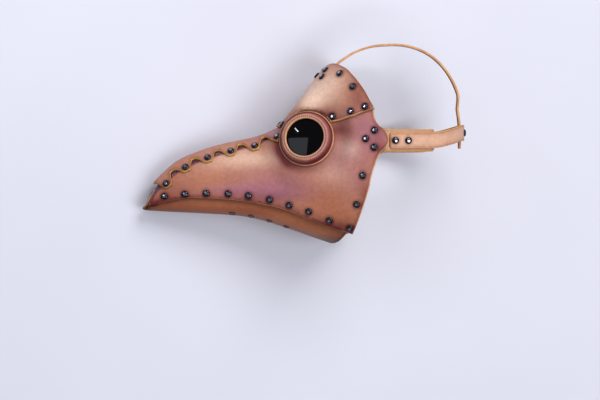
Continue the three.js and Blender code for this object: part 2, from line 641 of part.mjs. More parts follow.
// The eyes: a flat flange, a raised ring with a lip, and a lens held under the lip
function atEye(profile, height) {
  const lifted = profile.map(([radius, rise]) => [radius, height + rise]);
  if (profile[0][0] > 0) lifted.push(lifted[0]);
  return turned(lifted, EYE_SEGMENTS, EYE_CENTRE, EYE_AXIS);
}

const flangeProfile = [
  [FLANGE_HOLE_RADIUS, 0], [FLANGE_RADIUS, 0], [FLANGE_RADIUS, LEATHER], [FLANGE_HOLE_RADIUS, LEATHER],
];
const ringBase = EYE_LAYER + LEATHER + GAP;
addPair("eye_flange", atEye(flangeProfile, EYE_LAYER), LEATHER_TAN);
addPair("eye_ring", atEye(RING_PROFILE, ringBase), LEATHER_TAN);
addPair("lens", atEye(LENS_PROFILE, ringBase), LENS_GLASS);

// The head's outline in plan, by the angle from the back: [x, y]
function headLoop(angle) {
  if (Math.abs(angle) <= Math.PI / 2)
    return [HEAD_CENTRE + HEAD_HALF_LENGTH * Math.cos(angle), -HEAD_HALF_WIDTH * Math.sin(angle)];
  const x = HEAD_CENTRE - HEAD_HALF_WIDTH * (Math.abs(angle) - Math.PI / 2);
  const place = fromRidge(x, -distanceAt(x, STRAP_LEVEL));
  return [x, Math.sign(angle) * place.y];
}
const loopAngleAt = (x) => Math.PI / 2 + (HEAD_CENTRE - x) / HEAD_HALF_WIDTH;

// A point of a band that stands on the head's outline.
function bandPoint(angle, across, width, height) {
  const [x, y] = headLoop(angle);
  const [x0, y0] = headLoop(angle - BAND_STEP);
  const [x1, y1] = headLoop(angle + BAND_STEP);
  const along = Math.hypot(x1 - x0, y1 - y0);
  const rise = STRAP_RISE * (1 - smoothstep(Math.abs(angle), ...STRAP_RISE_ANGLES.map(degrees)));
  return new THREE.Vector3(
    x - (height * (y1 - y0)) / along,
    y + (height * (x1 - x0)) / along,
    STRAP_LEVEL + rise + (across * width) / 2,
  );
}

const anchorFrom = loopAngleAt(ANCHOR_FRONT);
function anchorPoint(u, v, height) {
  const angle = lerp(anchorFrom, degrees(ANCHOR_END_ANGLE), u);
  const flare = smoothstep(angle, loopAngleAt(ANCHOR_FLARE_TO), loopAngleAt(ANCHOR_FLARE_FROM));
  const front = ANCHOR_FRONT_TAPER * (1 - smoothstep(u, 0, ANCHOR_FRONT_TAPER_TO));
  const back = ANCHOR_BACK_TAPER * smoothstep(u, ANCHOR_BACK_TAPER_FROM, 1);
  const width = lerp(ANCHOR_WIDTH, ANCHOR_FLARE, flare) * (1 - front - back);
  return bandPoint(angle, 2 * v - 1, width, height);
}
addPair("strap_anchor", leather(anchorPoint, ANCHOR_COLUMNS, 1, ANCHOR_LAYER), LEATHER_STRAP);

const strapFrom = Math.acos((STRAP_START - HEAD_CENTRE) / HEAD_HALF_LENGTH);
function headStrapPoint(u, v, height) {
  return bandPoint(lerp(strapFrom, -strapFrom, u), 2 * v - 1, STRAP_WIDTH, height);
}

let headStrap = toSolid(leather(headStrapPoint, STRAP_COLUMNS, 1, STRAP_LAYER));
const strapOuter = STRAP_LAYER + LEATHER;

function bandRivet(angle) {
  const foot = bandPoint(angle, 0, STRAP_WIDTH, strapOuter);
  const normal = bandPoint(angle, 0, STRAP_WIDTH, strapOuter + 1).sub(foot);
  return toSolid(rivetHead(foot, normal, RIVET_ROOT));
}

const strapRivetAngles = STRAP_RIVETS.map((x) => Math.acos((x - HEAD_CENTRE) / HEAD_HALF_LENGTH));
for (const angle of [...strapRivetAngles, degrees(STRAP_BACK_RIVET_ANGLE)])
  headStrap = headStrap.add(bandRivet(angle)).add(bandRivet(-angle));
add("head_strap", fromSolid(headStrap), LEATHER_STRAP);

// The crown's outline in side view, by the share of the way: along the ridge, then down the back
function crownLine(share) {
  if (share < CROWN_SHARE) {
    const x = lerp(TOP_STRAP_FRONT, CROWN_TOP[0], share / CROWN_SHARE);
    return [x, ridge(x)];
  }
  const end = Math.asin(-TOP_STRAP_END / CROWN_TOP[1]);
  const angle = lerp(Math.PI / 2, -end, (share - CROWN_SHARE) / (1 - CROWN_SHARE));
  const reach = HEAD_CENTRE + HEAD_HALF_LENGTH - CROWN_TOP[0];
  return [
    CROWN_TOP[0] + reach * Math.cos(angle) ** CROWN_POWER,
    CROWN_TOP[1] * Math.sign(Math.sin(angle)) * Math.abs(Math.sin(angle)) ** CROWN_POWER,
  ];
}

function topStrapPoint(u, v, height) {
  const [x, z] = crownLine(u);
  const [x0, z0] = crownLine(Math.max(u - CROWN_STEP, 0));
  const [x1, z1] = crownLine(Math.min(u + CROWN_STEP, 1));
  const along = Math.hypot(x1 - x0, z1 - z0);
  const flare = 1 - smoothstep(x, ...TOP_STRAP_FLARE_X);
  const half = lerp(STRAP_WIDTH, TOP_STRAP_FLARE, flare) / 2;
  const inward = (TOP_STRAP_LAYER + LEATHER - STRAP_LAYER + 4 * GAP) * smoothstep(u, ...TOP_STRAP_INWARD);
  const lift = height - inward - TOP_STRAP_TUCK * flare;
  return new THREE.Vector3(
    x - (lift * (z1 - z0)) / along,
    half * (2 * v - 1),
    z + (lift * (x1 - x0)) / along,
  );
}
add("top_strap", leather(topStrapPoint, TOP_STRAP_COLUMNS, 1, TOP_STRAP_LAYER), LEATHER_STRAP);

// The rivets that are pieces of their own
function addRivets(name, spots, height) {
  spots.forEach(([x, z], i) => {
    const place = sidePlace(x, z, height);
    addPair(name + "_" + (i + 1), rivet(...place, height), RIVET_METAL);
  });
}
addRivets("jaw_rivet", JAW_RIVETS, sideOuter + GAP);
addRivets("back_rivet", BACK_RIVETS, sideOuter + GAP);
addRivets("tab_rivet", TAB_RIVETS, sideOuter + GAP);
addRivets("brow_rivet", BROW_RIVETS, browOuter + 3 * GAP);

// Laid down, with the origin under the middle
worn.rotation.set(degrees(LYING_ROLL + REST_ROLL), 0, degrees(REST_PITCH));
const box = new THREE.Box3().setFromObject(mask, true);
const middle = box.getCenter(new THREE.Vector3());
worn.position.set(-middle.x, -middle.y, -box.min.z);

export default mask;
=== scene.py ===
"""The looks of a long-beaked leather mask that lies on its side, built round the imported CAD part.

Lengths are in millimetres in the worn frame, with x running back from the eyes, y to the wearer's
right and z up, until laid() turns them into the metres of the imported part.
"""
import math

import bpy
import numpy as np
from mathutils import Matrix, Vector


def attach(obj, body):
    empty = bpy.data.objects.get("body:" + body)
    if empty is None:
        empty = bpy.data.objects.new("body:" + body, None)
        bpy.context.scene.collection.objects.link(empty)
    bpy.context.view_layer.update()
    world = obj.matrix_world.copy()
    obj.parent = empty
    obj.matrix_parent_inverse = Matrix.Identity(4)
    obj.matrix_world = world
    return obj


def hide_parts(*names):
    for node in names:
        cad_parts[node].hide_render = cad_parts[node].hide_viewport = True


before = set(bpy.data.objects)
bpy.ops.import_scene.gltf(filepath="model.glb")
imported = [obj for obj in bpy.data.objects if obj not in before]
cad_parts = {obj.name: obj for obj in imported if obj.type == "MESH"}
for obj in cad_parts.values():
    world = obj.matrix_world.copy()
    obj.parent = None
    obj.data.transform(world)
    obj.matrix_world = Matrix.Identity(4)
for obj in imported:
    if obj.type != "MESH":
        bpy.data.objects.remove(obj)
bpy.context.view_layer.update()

# Leather and its layers over the skin, which is the outer face of the chin panel
LEATHER = 2.8
GAP = 0.4
CHIN_LAYER = -LEATHER
SIDE_LAYER = GAP
TOP_LAYER = 3 * GAP + LEATHER
EYE_LAYER = TOP_LAYER + 0.3
BROW_LAYER = TOP_LAYER + 0.1
COVER_SLOPE = 9
DIP = 1.8
RAISED_BY = LEATHER + 3 * GAP
EDGE_ROUND = 0.8

# The skin's side view and plan, as [x, value] stations
RIDGE_STATIONS = [
    [-178, -67], [-169.3, -56.5], [-157.7, -45], [-144.1, -33.5], [-120.9, -22.5], [-91.9, -13.5],
    [-60, -6.5], [-43.5, -2.5], [-27.1, 3.6], [-8.3, 14], [6.8, 37.5], [21.8, 59.5], [36.8, 78.5],
    [46.4, 88], [60, 98], [75.4, 107.5], [96.7, 114.8], [120.9, 117],
]
KEEL_STATIONS = [
    [-187.6, -89], [-159.6, -90.7], [-111.2, -93.2], [-67.7, -96.2], [-38.7, -102], [-7.7, -112],
    [22.2, -122.5], [42.6, -129.5], [67.7, -138],
]
WIDEST_STATIONS = [
    [-185.4, -77], [-161.1, -71], [-141.1, -68], [-91.3, -62], [-41.3, -55], [10.3, -42],
    [63.2, -30], [103.6, -15], [137.9, -8],
]
HALF_WIDTH_STATIONS = [
    [-185.4, 11], [-156.1, 17], [-121.2, 22], [-86.3, 27], [-51.3, 32.5], [-21, 39], [10.3, 50],
    [42.3, 60.5], [73.5, 72.5], [103.6, 80], [137.9, 82],
]
UPPER_SQUARENESS_STATIONS = [
    [-186, 2], [-93, 1.9], [-43, 1.9], [-13, 2], [12, 2.2], [48, 2], [108, 2.1],
]
LOWER_SQUARENESS = 2.6

# The eyes, here the left one
EYE_CENTRE = np.array([13.8, -43.5, -1])
EYE_AXIS = np.array([-0.266, -0.942, 0.203])
EYE_AXIS = EYE_AXIS / np.linalg.norm(EYE_AXIS)
EYE_FLAT = 41
EYE_FADE = 66
BRIDGE_HALF_WIDTHS = [6, 30]
EYE_HOLE_RADIUS = 22
FLANGE_HOLE_RADIUS = 22.5
FLANGE_RADIUS = 35
LENS_PROFILE_CAD = [[0, 0], [25.3, 0], [25.3, 3.6], [13, 5.2], [0, 5.8]]
CAD_EYE_SEGMENTS = 20

# The side panels' edges, in side view
JAW_EDGE_STATIONS = [
    [-183.3, -83.9], [-158.5, -78], [-134.5, -73.8], [-117.6, -73.8], [-98.8, -74.8], [-80, -76.3],
    [-58.2, -78.8], [-37.4, -82.8], [-21.9, -86.3], [-6.3, -91.6], [18.9, -101.8], [46.2, -112],
    [69.1, -119.4],
]
BACK_EDGE_STATIONS = [
    [-119.4, 69.1], [-108.8, 73.4], [-86, 81], [-63, 87.9], [-46.6, 91.2], [-32, 95.7],
    [-18.6, 101.7], [-10, 109.8], [-1.3, 113], [8, 109], [17.5, 99.5], [26, 95.2], [36.3, 93.2],
    [48, 86.5],
]
BACK_EDGE_ROWS = [-119.4, -104, -80, -54, -33, -18.6, -10, -1.3, 8, 17.5, 48]
FRONT_EDGE_TOP = [-169.5, 3]
SEAM_OFFSET = 2.5
SEAM_END = -2
SEAM_SHARE = 0.72

# The ridge strip and its scallops
STRIP_FRONT = -172
STRIP_BACK = -12.6
STRIP_FRONT_HALF_WIDTH = 6
STRIP_END_LIFT = 0.5
STRIP_RIVETS = [
    [-161.4, -55.6], [-137.3, -35.1], [-109.7, -23.1], [-80.6, -15], [-51, -8.4], [-23.8, 3],
]
LOBE_MARGIN = 5.6
NOTCH_HALF_WIDTH = 10.8
STRIP_COVER = 10
STRIP_FRONT_COVER = 19
STRIP_COVER_CHANGE = [-160, -148]
STRIP_SWEEP = 0.45
LOBE_FALL = [0.14, 0.36]
LOBE_RISE = [0.42, 0.95]

# The brow panel
BROW_FRONT = -19
BROW_FRONT_CORNER = [-10, 21]
BROW_BACK = 44.5
BROW_LOWER_POINTS = [[42.4, 20.6], [69.4, 28]]
BROW_CORNER = [95, 36.8]
BROW_BACK_POINTS = [[89.4, 47.5], [85, 57], [77.1, 69.8], [69.8, 79.4], [63.2, 87.4]]
BROW_CORNER_STEP = [-1.5, 3.5]
BROW_CUTOUT = FLANGE_RADIUS + 1.2
BROW_CLIMB_X = [-9.6, 9.4]
BROW_CLIMB_HALF_WIDTHS = [30, 41]

# The chin panel
CHIN_TONGUE_TOP = [-175.5, -62]
CHIN_TIP = [-189.3, -87.6]
CHIN_TONGUE_HALF_WIDTHS = [7, 9.2, 10.6, 10.5, 8.5]
CHIN_FLANGE = 14.5
CHIN_FIRST = -184.7
CHIN_FULL_FLANGE = -166
CHIN_TIP_LEAN = 10
CHIN_BACK = 44.5
CHIN_BACK_SWEEP = 26
CHIN_SWEEP_POWER = 1.3
CHIN_DIP = [0.45, 0.8]
VENT_SPOTS = [-78.8, -55.2, -32.4, -11.2]
VENT_FROM_KEEL = 13.5

# The rivets' places, [x, z] in side view
JAW_RIVETS = [
    [-163.5, -71.6], [-138.1, -69.1], [-111.6, -67.8], [-84.4, -68.4], [-59.3, -70.8],
    [-33.1, -75.8], [-8.9, -82.8], [15.1, -90.6], [40.5, -101.6], [66, -111.6],
]
BACK_RIVETS = [[73.4, -81.8], [80.5, -45.8]]
TAB_RIVETS = [[95, 10.4], [84.2, -0.2], [94.4, -10.8]]
BROW_RIVETS = [[44, 27.6], [65.9, 34], [83.4, 40.1], [69.1, 65], [54, 81.6]]
FOREHEAD_RIVETS = [[37.6, 85.9], [33, 77.5]]
FOREHEAD_RIVET_FRONT = 33.5
BRIDGE_RIVET = [-6, 22]

# The straps
HEAD_CENTRE = 113.3
HEAD_HALF_LENGTH = 98.1
HEAD_HALF_WIDTH = 80.3
STRAP_LEVEL = -2.4
STRAP_RISE = 10
STRAP_RISE_ANGLES = [10, 62]
ANCHOR_WIDTH = 28
ANCHOR_FLARE = 36
ANCHOR_FRONT = 76
ANCHOR_FLARE_FROM = 97.5
ANCHOR_FLARE_TO = 110.3
ANCHOR_END_ANGLE = 53.5
ANCHOR_LAYER = CHIN_LAYER - 2.3
STRAP_LAYER = ANCHOR_LAYER + LEATHER + GAP
STRAP_WIDTH = 20
STRAP_START = 114
STRAP_RIVETS = [121, 137.1]
STRAP_BACK_RIVET_ANGLE = 6
CROWN_TOP = [120.9, 117]
TOP_STRAP_FRONT = 25.1
TOP_STRAP_FLARE = 26
TOP_STRAP_END = -9
TOP_STRAP_LAYER = SIDE_LAYER - 1
TOP_STRAP_TUCK = 1.6
TOP_STRAP_FLARE_X = [38, 60]
TOP_STRAP_INWARD = [0.79, 0.87]
CROWN_SHARE = 0.36
CROWN_POWER = 0.88

# The bands' lengths, near enough for the rounding of their ends
ANCHOR_LENGTH = 120
STRAP_LENGTH = 270
TOP_STRAP_LENGTH = 290

# How the mask lies, in degrees
ROLL = -94.26
PITCH = -14.46

# The camera, as the photograph was taken: practically square on to the mask's left side
VIEW_YAW = 3
VIEW_CENTRE = [6.7, -76.25]
VIEW_DISTANCE = 9000
VIEW_LENS = 432
SENSOR = 36


def smoothstep(x, low, high):
    t = np.clip((np.asarray(x, float) - low) / (high - low), 0, 1)
    return t * t * (3 - 2 * t)


def lerp(a, b, t):
    return a + (b - a) * t


def unit(vectors):
    return vectors / np.maximum(np.linalg.norm(vectors, axis=-1, keepdims=True), 1e-9)


def peak(value, middle, width):
    """1 at the middle, falling to nothing on both sides."""
    return np.exp(-(((value - middle) / width) ** 2))


def about_axis(points, centre, axis):
    """Each point's offset from an axis, that offset's length and the height along the axis."""
    away = points - centre
    height = away @ axis
    flat = away - axis * height[..., None]
    return flat, np.linalg.norm(flat, axis=-1), height


def smooth_curve(stations):
    """A smooth curve through stations, whose slope at each is the slope between its neighbours."""
    xs, values = np.array(stations, float).T
    slopes = np.empty(len(xs))
    slopes[1:-1] = (values[2:] - values[:-2]) / (xs[2:] - xs[:-2])
    slopes[0] = (values[1] - values[0]) / (xs[1] - xs[0])
    slopes[-1] = (values[-1] - values[-2]) / (xs[-1] - xs[-2])

    def at(x):
        x = np.asarray(x, float)
        i = np.clip(np.searchsorted(xs, x) - 1, 0, len(xs) - 2)
        span = xs[i + 1] - xs[i]
        t = np.clip((x - xs[i]) / span, 0, 1)
        start = (1 + 2 * t) * (1 - t) ** 2 * values[i] + t * (1 - t) ** 2 * span * slopes[i]
        end = t * t * (3 - 2 * t) * values[i + 1] + t * t * (t - 1) * span * slopes[i + 1]
        before = np.minimum(x - xs[0], 0) * slopes[0]
        after = np.maximum(x - xs[-1], 0) * slopes[-1]
        return start + end + before + after

    return at


ridge = smooth_curve(RIDGE_STATIONS)
keel = smooth_curve(KEEL_STATIONS)
widest = smooth_curve(WIDEST_STATIONS)
half_width = smooth_curve(HALF_WIDTH_STATIONS)
upper_squareness = smooth_curve(UPPER_SQUARENESS_STATIONS)
jaw_edge = smooth_curve(JAW_EDGE_STATIONS)
back_edge = smooth_curve(BACK_EDGE_STATIONS)

# The skin's cross-sections, each at even steps of its length, from the left keel over the ridge
SECTION_FIRST = -200
SECTION_STEP = 1.5
SECTION_COUNT = 240
SECTION_SAMPLES = 180
ANGLE_SAMPLES = 1440


def section_table():
    xs = SECTION_FIRST + SECTION_STEP * np.arange(SECTION_COUNT)
    angles = np.linspace(0, np.pi, ANGLE_SAMPLES)
    table = np.empty((SECTION_COUNT, 2 * SECTION_SAMPLES + 1, 2))
    lengths = np.empty(SECTION_COUNT)
    for row, x in enumerate(xs):
        upper = angles < np.pi / 2
        power = 2 / np.where(upper, upper_squareness(x), LOWER_SQUARENESS)
        rise = np.where(upper, ridge(x), keel(x)) - widest(x)
        y = half_width(x) * np.abs(np.sin(angles)) ** power
        z = widest(x) + rise * np.abs(np.cos(angles)) ** power
        along = np.concatenate([[0], np.cumsum(np.hypot(np.diff(y), np.diff(z)))])
        lengths[row] = along[-1]
        even = np.linspace(0, along[-1], SECTION_SAMPLES + 1)
        right = np.stack([np.interp(even, along, y), np.interp(even, along, z)], axis=1)
        table[row, SECTION_SAMPLES:] = right
        table[row, :SECTION_SAMPLES] = right[:0:-1] * [-1, 1]
    return table, lengths


SECTIONS, SECTION_LENGTHS = section_table()


def cubic_weights(t):
    return [
        0.5 * (-t + 2 * t**2 - t**3), 0.5 * (2 - 5 * t**2 + 3 * t**3),
        0.5 * (t + 4 * t**2 - 3 * t**3), 0.5 * (-(t**2) + t**3),
    ]


def section_length(x):
    place = (np.asarray(x, float) - SECTION_FIRST) / SECTION_STEP
    row = np.clip(np.floor(place).astype(int), 1, SECTION_COUNT - 3)
    weights = cubic_weights(place - row)
    return sum(weight * SECTION_LENGTHS[row + k - 1] for k, weight in enumerate(weights))


def flattened(points):
    """Each cheek is flat round its eye."""
    side = np.where(points[..., 1] > 0, -1, 1)
    centre = np.stack([np.full_like(side, c, float) for c in EYE_CENTRE], axis=-1)
    axis = np.stack([np.full_like(side, a, float) for a in EYE_AXIS], axis=-1)
    centre[..., 1] *= side
    axis[..., 1] *= side
    near = 1 - smoothstep(np.linalg.norm(points - centre, axis=-1), EYE_FLAT, EYE_FADE)
    off_ridge = smoothstep(np.abs(points[..., 1]), *BRIDGE_HALF_WIDTHS)
    depth = np.sum((centre - points) * axis, axis=-1)
    return points + axis * (near * off_ridge * depth)[..., None]


def from_ridge(x, distance):
    """Points of the skin, by x and the distance from the ridge, which is negative on the left."""
    x, distance = np.broadcast_arrays(np.asarray(x, float), np.asarray(distance, float))
    place = (x - SECTION_FIRST) / SECTION_STEP
    row = np.clip(np.floor(place).astype(int), 1, SECTION_COUNT - 3)
    share = np.clip(distance / section_length(x), -1, 1)
    along = (share + 1) * SECTION_SAMPLES
    column = np.clip(np.floor(along).astype(int), 1, 2 * SECTION_SAMPLES - 2)
    yz = 0
    for i, across in enumerate(cubic_weights(place - row)):
        for j, weight in enumerate(cubic_weights(along - column)):
            yz = yz + (across * weight)[..., None] * SECTIONS[row + i - 1, column + j - 1]
    return flattened(np.stack([x, yz[..., 0], yz[..., 1]], axis=-1))


def from_keel(x, distance):
    along = section_length(x) - np.abs(distance)
    return from_ridge(x, np.where(np.asarray(distance) < 0, -along, along))


NORMAL_STEP = 0.8


def normal_of(surface, x, distance):
    along = surface(x + NORMAL_STEP, distance) - surface(x - NORMAL_STEP, distance)
    across = surface(x, distance + NORMAL_STEP) - surface(x, distance - NORMAL_STEP)
    normal = unit(np.cross(along, across))
    return -normal if surface is from_keel else normal


def raised(surface, x, distance, height):
    lift = np.asarray(height, float)[..., None]
    return surface(x, distance) + normal_of(surface, x, distance) * lift


def distance_at(x, z):
    """The distance from the ridge of the height z on the section at x."""
    x, z = np.broadcast_arrays(np.asarray(x, float), np.asarray(z, float))
    rows = np.clip(((x - SECTION_FIRST) / SECTION_STEP), 0, SECTION_COUNT - 2)
    row = rows.astype(int)
    heights = lerp(SECTIONS[row, SECTION_SAMPLES:, 1], SECTIONS[row + 1, SECTION_SAMPLES:, 1],
                   (rows - row)[..., None])
    index = np.clip((heights > z[..., None]).sum(-1) - 1, 0, SECTION_SAMPLES - 1)
    above = np.take_along_axis(heights, index[..., None], -1)[..., 0]
    below = np.take_along_axis(heights, index[..., None] + 1, -1)[..., 0]
    share = np.clip((above - z) / (above - below), 0, 1)
    return (index + share) / SECTION_SAMPLES * section_length(x)


PLACE_ROUNDS = 20
PLACE_STEP = 0.5
PLACE_REACH = 6
LEAST_DISTANCE = 12


def side_place(seen_x, seen_z, height):
    """The place on the left half, as x and distance, whose raised point is seen at (x, z)."""
    seen_x, seen_z = np.broadcast_arrays(np.asarray(seen_x, float), np.asarray(seen_z, float))
    x = seen_x.copy()
    distance = -np.maximum(distance_at(seen_x, seen_z), LEAST_DISTANCE)
    for _ in range(PLACE_ROUNDS):
        here = raised(from_ridge, x, distance, height)
        along = raised(from_ridge, x + PLACE_STEP, distance, height) - here
        across = raised(from_ridge, x, distance + PLACE_STEP, height) - here
        determinant = along[..., 0] * across[..., 2] - across[..., 0] * along[..., 2]
        miss_x = (seen_x - here[..., 0]) * PLACE_STEP
        miss_z = (seen_z - here[..., 2]) * PLACE_STEP
        step_x = (across[..., 2] * miss_x - across[..., 0] * miss_z) / determinant
        step_s = (along[..., 0] * miss_z - along[..., 2] * miss_x) / determinant
        x = x + np.clip(step_x, -PLACE_REACH, PLACE_REACH)
        distance = distance + np.clip(step_s, -PLACE_REACH, PLACE_REACH)
    return x, distance


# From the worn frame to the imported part's
def turn(angle, axis):
    return np.array(Matrix.Rotation(math.radians(angle), 3, axis))


ROTATION = turn(ROLL, "X") @ turn(PITCH, "Z")
RING_BASE = EYE_LAYER + LEATHER + GAP


def lens_shift():
    """Where the worn frame's origin lies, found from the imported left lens."""
    points = np.array([v.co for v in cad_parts["lens_left"].data.vertices]) * 1000
    points = np.unique(points.round(3), axis=0)
    heights = [h for r, h in LENS_PROFILE_CAD for _ in range(CAD_EYE_SEGMENTS if r else 1)]
    middle = EYE_CENTRE + EYE_AXIS * (RING_BASE + np.mean(heights))
    return points.mean(axis=0) - ROTATION @ middle


SHIFT = lens_shift()


def laid(points):
    return (points @ ROTATION.T + SHIFT) / 1000


# Meshes
def add_piece(name, points, faces, face_slots, materials, node_names, slot, attributes=None):
    """Makes a piece that stands for CAD nodes. Its faces are lists of vertex numbers, and the
    materials read an attribute that isn't given as 0."""
    mesh = bpy.data.meshes.new(name)
    mesh.from_pydata(laid(points), [], faces)
    mesh.polygons.foreach_set("material_index", face_slots)
    mesh.polygons.foreach_set("use_smooth", [True] * len(faces))
    for label, values in (attributes or {}).items():
        layer = mesh.attributes.new(label, "FLOAT", "POINT")
        layer.data.foreach_set("value", np.array(np.broadcast_to(values, len(points)), np.float32))
    mesh.update()
    piece = bpy.data.objects.new(name, mesh)
    bpy.context.scene.collection.objects.link(piece)
    for material in materials:
        mesh.materials.append(material)
    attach(piece, "root")
    if node_names:
        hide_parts(*node_names)


def volume_sign(points, faces):
    """Whether closed faces, which all have as many corners, point outwards."""
    corners = points[np.array(faces)]
    first = corners[:, 0]
    total = 0.0
    for k in range(1, corners.shape[1] - 1):
        total += np.sum(first * np.cross(corners[:, k], corners[:, k + 1]))
    return np.sign(total)


def outward(points, faces):
    """The faces, turned round where they point inwards."""
    triangles = [[f[0], f[j], f[j + 1]] for f in faces for j in range(1, len(f) - 1)]
    return [face[::-1] for face in faces] if volume_sign(points, triangles) < 0 else faces


EDGE_STEPS = 3


def leather_mesh(outer, inner, keep):
    """A sheet of leather between two grids of points, with rounded cut edges.

    Returns its points, its quads, their slots (0 grain side, 1 cut edge, 2 flesh side), and for each
    point the distance to the nearest cut edge and the number of its place in the grid."""
    columns, rows = outer.shape[:2]
    count = columns * rows
    number = np.arange(count).reshape(columns, rows)
    quads = np.stack([number[:-1, :-1], number[1:, :-1], number[1:, 1:], number[:-1, 1:]], axis=-1)[keep]
    outer, inner = outer.reshape(count, 3), inner.reshape(count, 3)
    starts, ends = quads.ravel(), np.roll(quads, -1, axis=1).ravel()
    free = ~np.isin(starts * count + ends, ends * count + starts)
    starts, ends = starts[free], ends[free]

    # The direction out of the leather at each point of its rim
    middle = (outer + inner) / 2
    up = unit(outer - inner)
    sides = np.cross(middle[ends] - middle[starts], up[starts] + up[ends])
    out = np.zeros_like(outer)
    np.add.at(out, starts, sides)
    np.add.at(out, ends, sides)
    out = unit(out - up * np.sum(out * up, axis=1, keepdims=True))
    face_middles = np.repeat(middle[quads].mean(axis=1), 4, axis=0)[free]
    if np.sum(sides * (middle[starts] - face_middles)) < 0:
        out = -out

    rim = np.unique(starts)
    outer[rim] -= out[rim] * EDGE_ROUND
    inner[rim] -= out[rim] * EDGE_ROUND
    used = np.isin(np.arange(count), quads)
    compact = np.cumsum(used) - 1
    kept = int(used.sum())
    rim_rank = np.full(count, -1)
    rim_rank[rim] = np.arange(len(rim))
    rings = []
    for face, way in ((outer, 1), (inner, -1)):
        for k in range(1, EDGE_STEPS + 1)[::way]:
            angle = np.pi / 2 * k / EDGE_STEPS
            push = out[rim] * EDGE_ROUND * math.sin(angle)
            drop = up[rim] * EDGE_ROUND * (1 - math.cos(angle))
            rings.append(face[rim] + push - way * drop)
    points = np.concatenate([outer[used], inner[used]] + rings)

    faces = [compact[quads], (compact[quads] + kept)[:, ::-1]]
    slots = [0] * len(quads) + [2] * len(quads) + [1] * len(starts) * (len(rings) + 1)
    levels = [compact] + [2 * kept + k * len(rim) + rim_rank for k in range(len(rings))] + [compact + kept]
    for upper, lower in zip(levels, levels[1:]):
        faces.append(np.stack([upper[ends], upper[starts], lower[starts], lower[ends]], axis=1))
    faces = np.concatenate(faces)
    if volume_sign(points, faces) < 0:
        faces = faces[:, ::-1]
    distances = nearest(middle[used], middle[rim])
    edge = np.concatenate([distances, distances, np.zeros(len(rim) * len(rings))])
    source = np.concatenate([np.flatnonzero(used)] * 2 + [rim] * len(rings))
    return points, faces, slots, edge, source


def nearest(points, targets, chunk=4000):
    """The distance from each point to the nearest of the targets."""
    found = np.empty(len(points))
    squares = np.sum(targets**2, axis=1)
    for start in range(0, len(points), chunk):
        part = points[start:start + chunk]
        apart = np.sum(part**2, axis=1)[:, None] + squares - 2 * part @ targets.T
        found[start:start + chunk] = np.sqrt(np.maximum(apart.min(axis=1), 0))
    return found


def eye(side):
    """The centre and axis of the left eye where side is 1, and of the right one where it is -1."""
    mirror = np.array([1, side, 1])
    return EYE_CENTRE * mirror, EYE_AXIS * mirror


OTHER_SIDE_DEPTH = -30


def cut_round(outer, inner, keep, radius, side):
    """Cuts a round hole about an eye's axis into a grid: its rim's points move onto the circle."""
    flat, reach, height = about_axis(outer, *eye(side))
    within = (reach < radius) & (height > OTHER_SIDE_DEPTH)
    keep &= ~(within[:-1, :-1] & within[1:, :-1] & within[1:, 1:] & within[:-1, 1:])
    push = np.where(within, radius - reach, 0)[..., None] * unit(flat)
    outer += push
    inner += push


def grid(columns, rows):
    u = np.linspace(0, 1, columns + 1)[:, None] + np.zeros((1, rows + 1))
    v = np.linspace(0, 1, rows + 1)[None, :] + np.zeros((columns + 1, 1))
    return u, v


def mirrored(points):
    return points * [1, -1, 1]


# Colours, as they look in even light
def tone(red, green, blue):
    return [((c / 255 + 0.055) / 1.055) ** 2.4 if c > 10 else c / 255 / 12.92 for c in (red, green, blue)]


def shade(colour, share):
    """The colour darkened or lightened to a share of itself."""
    return [min(c * share, 1) for c in colour]


